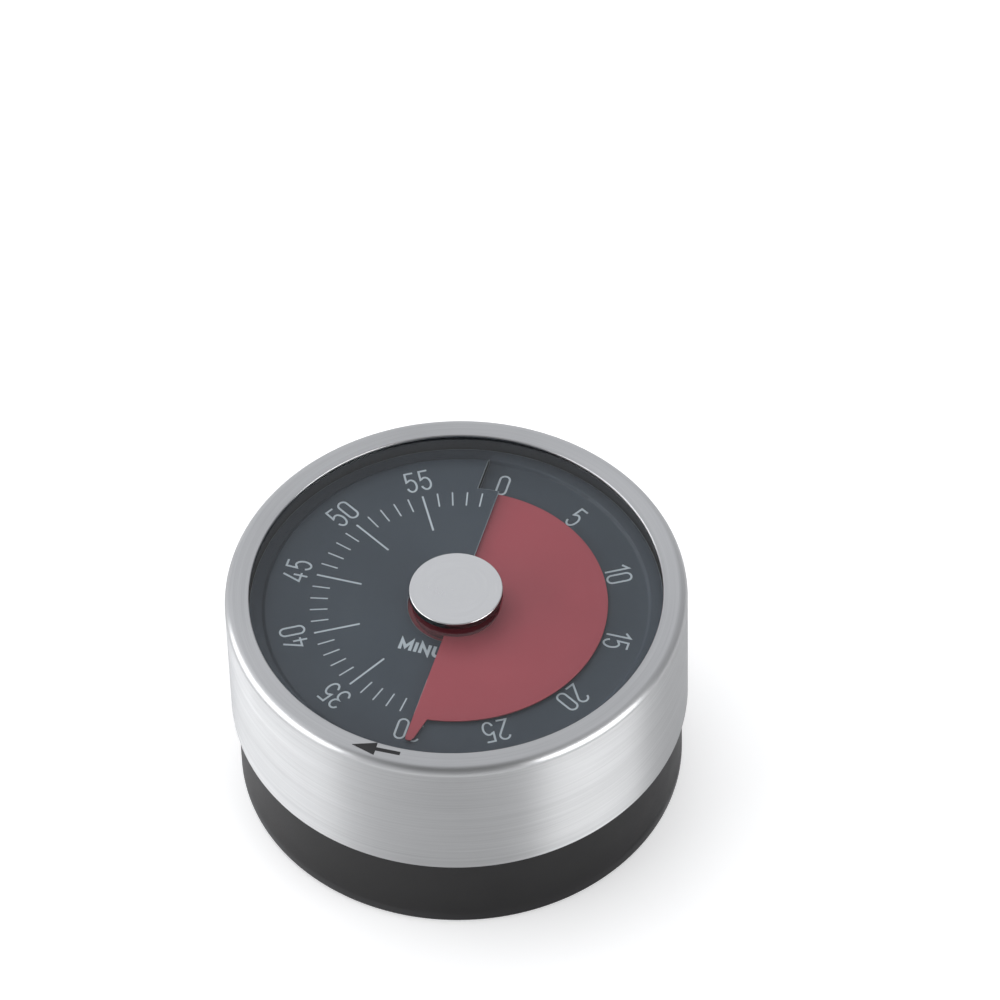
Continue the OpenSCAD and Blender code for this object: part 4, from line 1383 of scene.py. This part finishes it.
@dataclass
class TurningCover:
    """What the hand turns: steel ring, liner, lens and centre button."""

    steel_t: float = 0.6 * MM
    ring_around: int = 360
    rim_w: float = 4.0 * MM
    edge_r: float = 1.4 * MM
    lip_r: float = 0.22 * MM
    hem_r: float = 0.2 * MM
    lens_hole_r: float = 3.0 * MM
    lens_edge: float = 0.15 * MM
    lens_fit: float = 0.05 * MM
    button_edge: float = 0.2 * MM
    spigot_r: float = 1.2 * MM
    liner_lip: float = 0.9 * MM
    liner_in_r: float = 34.4 * MM
    neck_guide_r: float = 34.0 * MM
    guide_drop: float = 3.6 * MM
    guide_h: float = 1.0 * MM
    guide_lead: float = 0.6 * MM
    skirt_relief: float = 0.2 * MM
    soft: float = 0.12 * MM
    arrow_l: float = 8.05 * MM
    arrow_head_l: float = 4.0 * MM
    arrow_head_w: float = 2.6 * MM
    arrow_shaft_w: float = 0.7 * MM
    arrow_tail: tuple[float, float] = (35.2 * MM, 178.4)
    arrow_tip: tuple[float, float] = (36.05 * MM, 191.3)
    ink: float = 0.02 * MM

    def build(self, shop: PaintShop) -> None:
        """Builds and dresses the pieces."""
        for piece in (self.ring, self.arrow, self.liner, self.lens, self.button):
            piece(shop)

    def ring(self, shop: PaintShop) -> None:
        """The drawn steel ring: a skirt, a rolled top edge and a flat rim with a rounded lip.

        Args:
            shop: where its finish comes from.
        """
        low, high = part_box("steel_ring")
        r, t = high.x, self.steel_t
        section = [
            Corner(r, low.z, self.hem_r), Corner(r, high.z, self.edge_r),
            Corner(r - self.rim_w, high.z, self.lip_r), Corner(r - self.rim_w, high.z - t, self.lip_r),
            Corner(r - t, high.z - t, self.edge_r - t), Corner(r - t, low.z, self.hem_r),
        ]
        obj = turned("ring_shell", [Turning(rounded_outline(section), around=self.ring_around)])
        shop.dress(obj, STEEL, RIM)
        second_finish(obj, lambda at: at[:, 2] > high.z - self.edge_r)
        settle(obj, "knob", "ring_steel", "steel_ring")

    def rim_height(self, r: Array) -> Array:
        """Height of the rim's top: flat, then falling round the rolled edge's circle.

        Args:
            r: radius.

        Returns:
            The height of each point.
        """
        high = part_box("steel_ring")[1]
        past = np.clip(r - (high.x - self.edge_r), 0, self.edge_r)
        return high.z - self.edge_r + np.sqrt(self.edge_r**2 - past**2)

    def arrow(self, shop: PaintShop) -> None:
        """The printed arrow that shows the winding direction.

        Stations run along the arrow from tail to tip, each with the half width there, and five
        points lie across each station. The height follows the rim.

        Args:
            shop: where its finish comes from.
        """
        tail, tip = (np.array(clock(*end)) for end in (self.arrow_tail, self.arrow_tip))
        way = unit(tip - tail)
        side = np.array([-way[1], way[0]])
        neck = self.arrow_l - self.arrow_head_l
        shaft, head = np.linspace(0, neck, 6), np.linspace(neck + self.ink, self.arrow_l, 9)
        along = np.concatenate([shaft, head])
        taper = np.linspace(self.arrow_head_w / 2, self.ink, len(head))
        half = np.concatenate([np.full(len(shaft), self.arrow_shaft_w / 2), taper])
        across = np.linspace(-1, 1, 5)
        plan = (tail + along[:, None, None] * way + (half[:, None] * across)[..., None] * side)
        plan = plan.reshape(-1, 2)
        z = self.rim_height(np.linalg.norm(plan, axis=1))
        part = Sheet(np.column_stack([plan, z + self.ink]), np.column_stack([plan, z - self.ink]),
                     grid_quads(len(along), len(across))[:, ::-1])
        obj = sheets("rim_arrow", [part])
        shop.dress(obj, INK_BLACK)
        settle(obj, "knob", "ring_steel")

    def liner(self, shop: PaintShop) -> None:
        """The black liner: lens seat at the top, snap groove and guide for the neck below.

        Args:
            shop: where its finish comes from.
        """
        low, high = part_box("ring_liner")
        lens_low, lens_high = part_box("lens")
        seat_r = lens_high.x + self.lens_fit
        bore, soft = self.liner_in_r, self.soft
        skirt_in = bore + self.skirt_relief
        guide_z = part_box("base_housing")[1].z - self.guide_drop
        guide_top = guide_z + self.guide_h
        section = [
            Corner(skirt_in, low.z, soft), Corner(high.x, low.z, soft),
            Corner(high.x, high.z - self.liner_lip, soft), Corner(high.x - self.liner_lip, high.z, soft),
            Corner(seat_r, high.z, soft), Corner(seat_r, lens_low.z, soft),
            Corner(bore, lens_low.z, soft), Corner(bore, guide_top, soft),
            Corner(self.neck_guide_r, guide_top, soft), Corner(self.neck_guide_r, guide_z, soft),
            Corner(skirt_in, guide_z - self.guide_lead, soft),
        ]
        obj = turned("liner_ring", [Turning(rounded_outline(section))])
        shop.dress(obj, LINER_BLACK)
        settle(obj, "knob", "liner_black", "ring_liner")

    def lens(self, shop: PaintShop) -> None:
        """The clear lens, a flat disc with a hole for the hub's boss.

        Args:
            shop: where its finish comes from.
        """
        low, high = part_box("lens")
        edge = self.lens_edge
        section = [Corner(self.lens_hole_r, low.z, edge), Corner(high.x, low.z, edge),
                   Corner(high.x, high.z, edge), Corner(self.lens_hole_r, high.z, edge)]
        obj = turned("clear_lens", [Turning(rounded_outline(section))])
        shop.dress(obj, LENS_CLEAR)
        settle(obj, "knob", "lens_clear", "lens")

    def button(self, shop: PaintShop) -> None:
        """The centre button: a flat cap with a rounded edge on a spigot.

        Args:
            shop: where its finish comes from.
        """
        low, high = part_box("centre_button")
        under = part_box("lens")[1].z
        soft = self.soft
        section = [
            Corner(0, low.z), Corner(self.spigot_r, low.z, soft), Corner(self.spigot_r, under, soft),
            Corner(high.x, under, soft), Corner(high.x, high.z, self.button_edge), Corner(0, high.z),
        ]
        obj = turned("button_cap", [Turning(rounded_outline(section))])
        # The side and spigot below the rounded edge take the near-black copy of the steel: painted shade
        # for the dark dial mirrored there.
        shop.dress(obj, BUTTON, BUTTON_SIDE_PAINTED_SHADE)
        second_finish(obj, lambda at: at[:, 2] < high.z - self.button_edge)
        settle(obj, "knob", "button_silver", "centre_button")


@dataclass
class Movement:
    """The closed-in movement: its pieces keep the frame's shapes and get their finishes."""

    finishes: dict[Finish, tuple[str, ...]] = field(default_factory=lambda: {
        PLATED: ("back_plate", "front_plate", "pillar_1", "pillar_2", "pillar_3", "bell_post",
                 "spring_post", "main_arbor", "hammer_feeler", "hammer_arm"),
        DARK_STEEL: ("pillar_screws", "movement_screws", "bell_screw", "click", "second_pinion",
                     "third_pinion", "escape_pinion", "pallet_arbor", "pallet_lever", "hammer_arbor"),
        BLUED: ("mainspring", "click_spring", "hammer_spring"),
        BRASS: ("ratchet_wheel", "strike_cam", "main_wheel", "second_wheel", "third_wheel",
                "escape_wheel", "balance_bar"),
        BELL: ("bell_gong",),
        HUB_BLACK: ("drive_hub",),
    })

    def build(self, shop: PaintShop) -> None:
        """Dresses every node of the movement.

        Args:
            shop: where their finishes come from.
        """
        for finish, names in self.finishes.items():
            for name in names:
                shop.dress_node(name, finish)
                LOG.info("%s: finish %s", name, finish.name)


# ---------- studio ----------


@dataclass(frozen=True)
class SoftBox:
    """A soft lamp: where it stands round the timer, its size and its power in watts."""

    name: str
    azimuth: float
    elevation: float
    distance: float
    width: float
    height: float
    power: float
    tone: Colour = (1.0, 1.0, 1.0)
    mirrored: bool = True

    def build(self, target: Vector) -> None:
        """Hangs the lamp facing the target; azimuth 0 is towards -Y and turns to +X.

        Args:
            target: the point that the lamp faces.
        """
        a, e = math.radians(self.azimuth), math.radians(self.elevation)
        back = Vector((math.sin(a) * math.cos(e), -math.cos(a) * math.cos(e), math.sin(e)))
        lamp = bpy.data.lights.new(self.name, "AREA")
        lamp.shape = "RECTANGLE"
        lamp.size, lamp.size_y = self.width, self.height
        lamp.energy = self.power
        lamp.color = self.tone
        obj = bpy.data.objects.new(self.name, lamp)
        obj.location = target + back * self.distance
        obj.rotation_mode = "QUATERNION"
        obj.rotation_quaternion = (-back).to_track_quat("-Z", "Y")
        obj.visible_camera = False
        obj.visible_glossy = self.mirrored
        bpy.context.scene.collection.objects.link(obj)


@dataclass(frozen=True)
class Flag:
    """A dark cloth that takes light from the surround: its middle, and its soft edge as cosines."""

    azimuth: float
    elevation: float
    edge: float
    full: float
    depth: float

    def shade(self, nodes: Nodes, direction: Socket) -> Socket:
        """The flag's shade in a direction, from the cosine of the angle to the flag's middle.

        Args:
            nodes: the nodes of the floor or of the world.
            direction: a unit vector away from the timer.

        Returns:
            0 outside the soft edge, rising evenly to the flag's depth where it is full.
        """
        a, e = math.radians(self.azimuth), math.radians(self.elevation)
        middle = (math.sin(a) * math.cos(e), -math.cos(a) * math.cos(e), math.sin(e))
        facing = nodes.add("ShaderNodeVectorMath", {0: direction, 1: middle}, operation="DOT_PRODUCT")
        return nodes.spread(facing.outputs["Value"], 0, self.depth, self.edge, self.full)


@dataclass
class Studio:
    """Pale floor, soft light and the camera."""

    azimuth: float = 17.5
    elevation: float = 49.13
    roll: float = -1.708
    distance: float = 1.2186
    shift_right: float = -7.22 * MM
    shift_up: float = -14.95 * MM
    lens: float = 267.6
    clip: tuple[float, float] = (0.05, 50.0)
    floor_r: float = 6.0
    floor_corners: int = 96
    floor_z: float = -0.05 * MM
    floor_near: float = 3 * MM
    floor_glow: float = 0.4
    # Floor tones seen in reflections, paler to darker by the flags' shade: painted shade.
    mirrored_floor: tuple[Colour, Colour] = ((0.92, 0.92, 0.92), (0.8, 0.8, 0.8))
    surround: tuple[Colour, Colour] = ((0.8, 0.81, 0.84), (0.15, 0.15, 0.15))
    flags: tuple[Flag, ...] = (
        Flag(azimuth=75, elevation=10, edge=-0.3, full=0.5, depth=0.6),
        Flag(azimuth=17.5, elevation=58, edge=0.6, full=0.95, depth=0.9),
    )
    lamps: tuple[SoftBox, ...] = (
        SoftBox("top_box", azimuth=-140, elevation=62, distance=1.1, width=0.9, height=0.9, power=3.0,
                mirrored=False),
        SoftBox("left_box", azimuth=-67, elevation=12, distance=1.0, width=1.3, height=0.7, power=8.3),
        SoftBox("right_box", azimuth=73, elevation=12, distance=1.0, width=0.85, height=0.6, power=6.9),
    )

    def build(self) -> None:
        """Builds the camera, the floor, the lamps and the world."""
        self.camera()
        self.floor()
        target = (CAD_BOX[0] + CAD_BOX[1]) / 2
        for lamp in self.lamps:
            lamp.build(target)
        self.sky()

    def camera(self) -> None:
        """The camera: it looks down at the rim's centre from its azimuth and elevation, rolled a little.

        Its place is the rim's centre moved back along the view and by the two shifts across it.
        """
        a, e, roll = (math.radians(x) for x in (self.azimuth, self.elevation, self.roll))
        back = Vector((math.sin(a) * math.cos(e), -math.cos(a) * math.cos(e), math.sin(e)))
        level = Vector((math.cos(a), math.sin(a), 0))
        upright = back.cross(level)
        right = level * math.cos(roll) + upright * math.sin(roll)
        up = upright * math.cos(roll) - level * math.sin(roll)
        rim = Vector((0, 0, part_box("steel_ring")[1].z))
        place = rim - right * self.shift_right - up * self.shift_up + back * self.distance
        data = bpy.data.cameras.new("view")
        data.lens = self.lens
        data.clip_start, data.clip_end = self.clip
        obj = bpy.data.objects.new("view", data)
        turn = Matrix((right, up, back)).transposed()
        obj.matrix_world = Matrix.Translation(place) @ turn.to_4x4()
        bpy.context.scene.collection.objects.link(obj)
        bpy.context.scene.camera = obj

    def floor(self) -> None:
        """A wide pale disc, a little lower than the foot.

        It isn't seen from below, nor by light that meets it close to where it set out, so that
        the foot and the underside of the base are lit as if they were held up.
        """
        count = self.floor_corners
        ring = np.linspace(0, 2 * np.pi, count, endpoint=False)
        verts = np.stack([self.floor_r * np.cos(ring), self.floor_r * np.sin(ring),
                          np.full(count, self.floor_z)], axis=1)
        obj = build_mesh("floor", verts, [np.arange(count)[None, :]])
        material, nodes, place = new_material("pale_floor")
        tone = nodes.noise(place, 3.0, 2.0)
        pale = nodes.add("ShaderNodeBsdfPrincipled", {
            "Base Color": nodes.mix(tone, (0.86, 0.86, 0.86), (0.88, 0.88, 0.88)),
            "Roughness": 0.9, "Specular IOR Level": 0.2,
            "Emission Color": (1, 1, 1, 1), "Emission Strength": self.floor_glow})
        outward = nodes.add("ShaderNodeVectorMath", {0: place}, operation="NORMALIZE")
        shade = self.shade(nodes, outward.outputs["Vector"])
        # Glossy rays see the floor without its glow and darker where the flags stand: painted shade in
        # its reflections.
        dim = nodes.add("ShaderNodeBsdfDiffuse", {"Color": nodes.mix(shade, *self.mirrored_floor)})
        rays = nodes.add("ShaderNodeLightPath").outputs
        above = nodes.add("ShaderNodeMixShader", {0: rays["Is Glossy Ray"], 1: pale.outputs[0],
                                                  2: dim.outputs[0]})
        near = nodes.math("LESS_THAN", rays["Ray Length"], self.floor_near)
        below = nodes.add("ShaderNodeNewGeometry").outputs["Backfacing"]
        clear = nodes.add("ShaderNodeBsdfTransparent")
        show(nodes, nodes.add("ShaderNodeMixShader", {0: nodes.math("MAXIMUM", below, near),
                                                      1: above.outputs[0], 2: clear.outputs[0]}))
        obj.data.materials.append(material)

    def shade(self, nodes: Nodes, direction: Socket) -> Socket:
        """How much the flags shade a direction.

        Args:
            nodes: the nodes of the floor or of the world.
            direction: a unit vector away from the timer.

        Returns:
            The larger of the flags' shades, 0 where none stands.
        """
        shade: Socket | float = 0.0
        for flag in self.flags:
            shade = nodes.math("MAXIMUM", flag.shade(nodes, direction), shade)
        return shade

    def sky(self) -> None:
        """A pale surround, darker on one side, and a plain view transform."""
        world = bpy.data.worlds.new("surround")
        world.use_nodes = True
        nodes = Nodes(world.node_tree)
        shade = self.shade(nodes, nodes.add("ShaderNodeTexCoord").outputs["Generated"])
        colour = nodes.mix(shade, *self.surround)
        world.node_tree.links.new(colour, world.node_tree.nodes["Background"].inputs["Color"])
        bpy.context.scene.world = world
        bpy.context.scene.view_settings.view_transform = "Standard"


def main() -> None:
    """Builds the studio and the sub-assemblies in order."""
    logging.basicConfig(level=logging.INFO, format="%(name)s: %(message)s")
    for build_pattern in (build_turned_lines, build_rolled_lines, build_moulded_grain,
                          build_handling_marks):
        build_pattern()
    shop = PaintShop()
    Studio().build()
    for assembly in (Base(), Dial(), RedDisc(), TurningCover(), Movement()):
        assembly.build(shop)


if __name__ == "__main__":
    main()
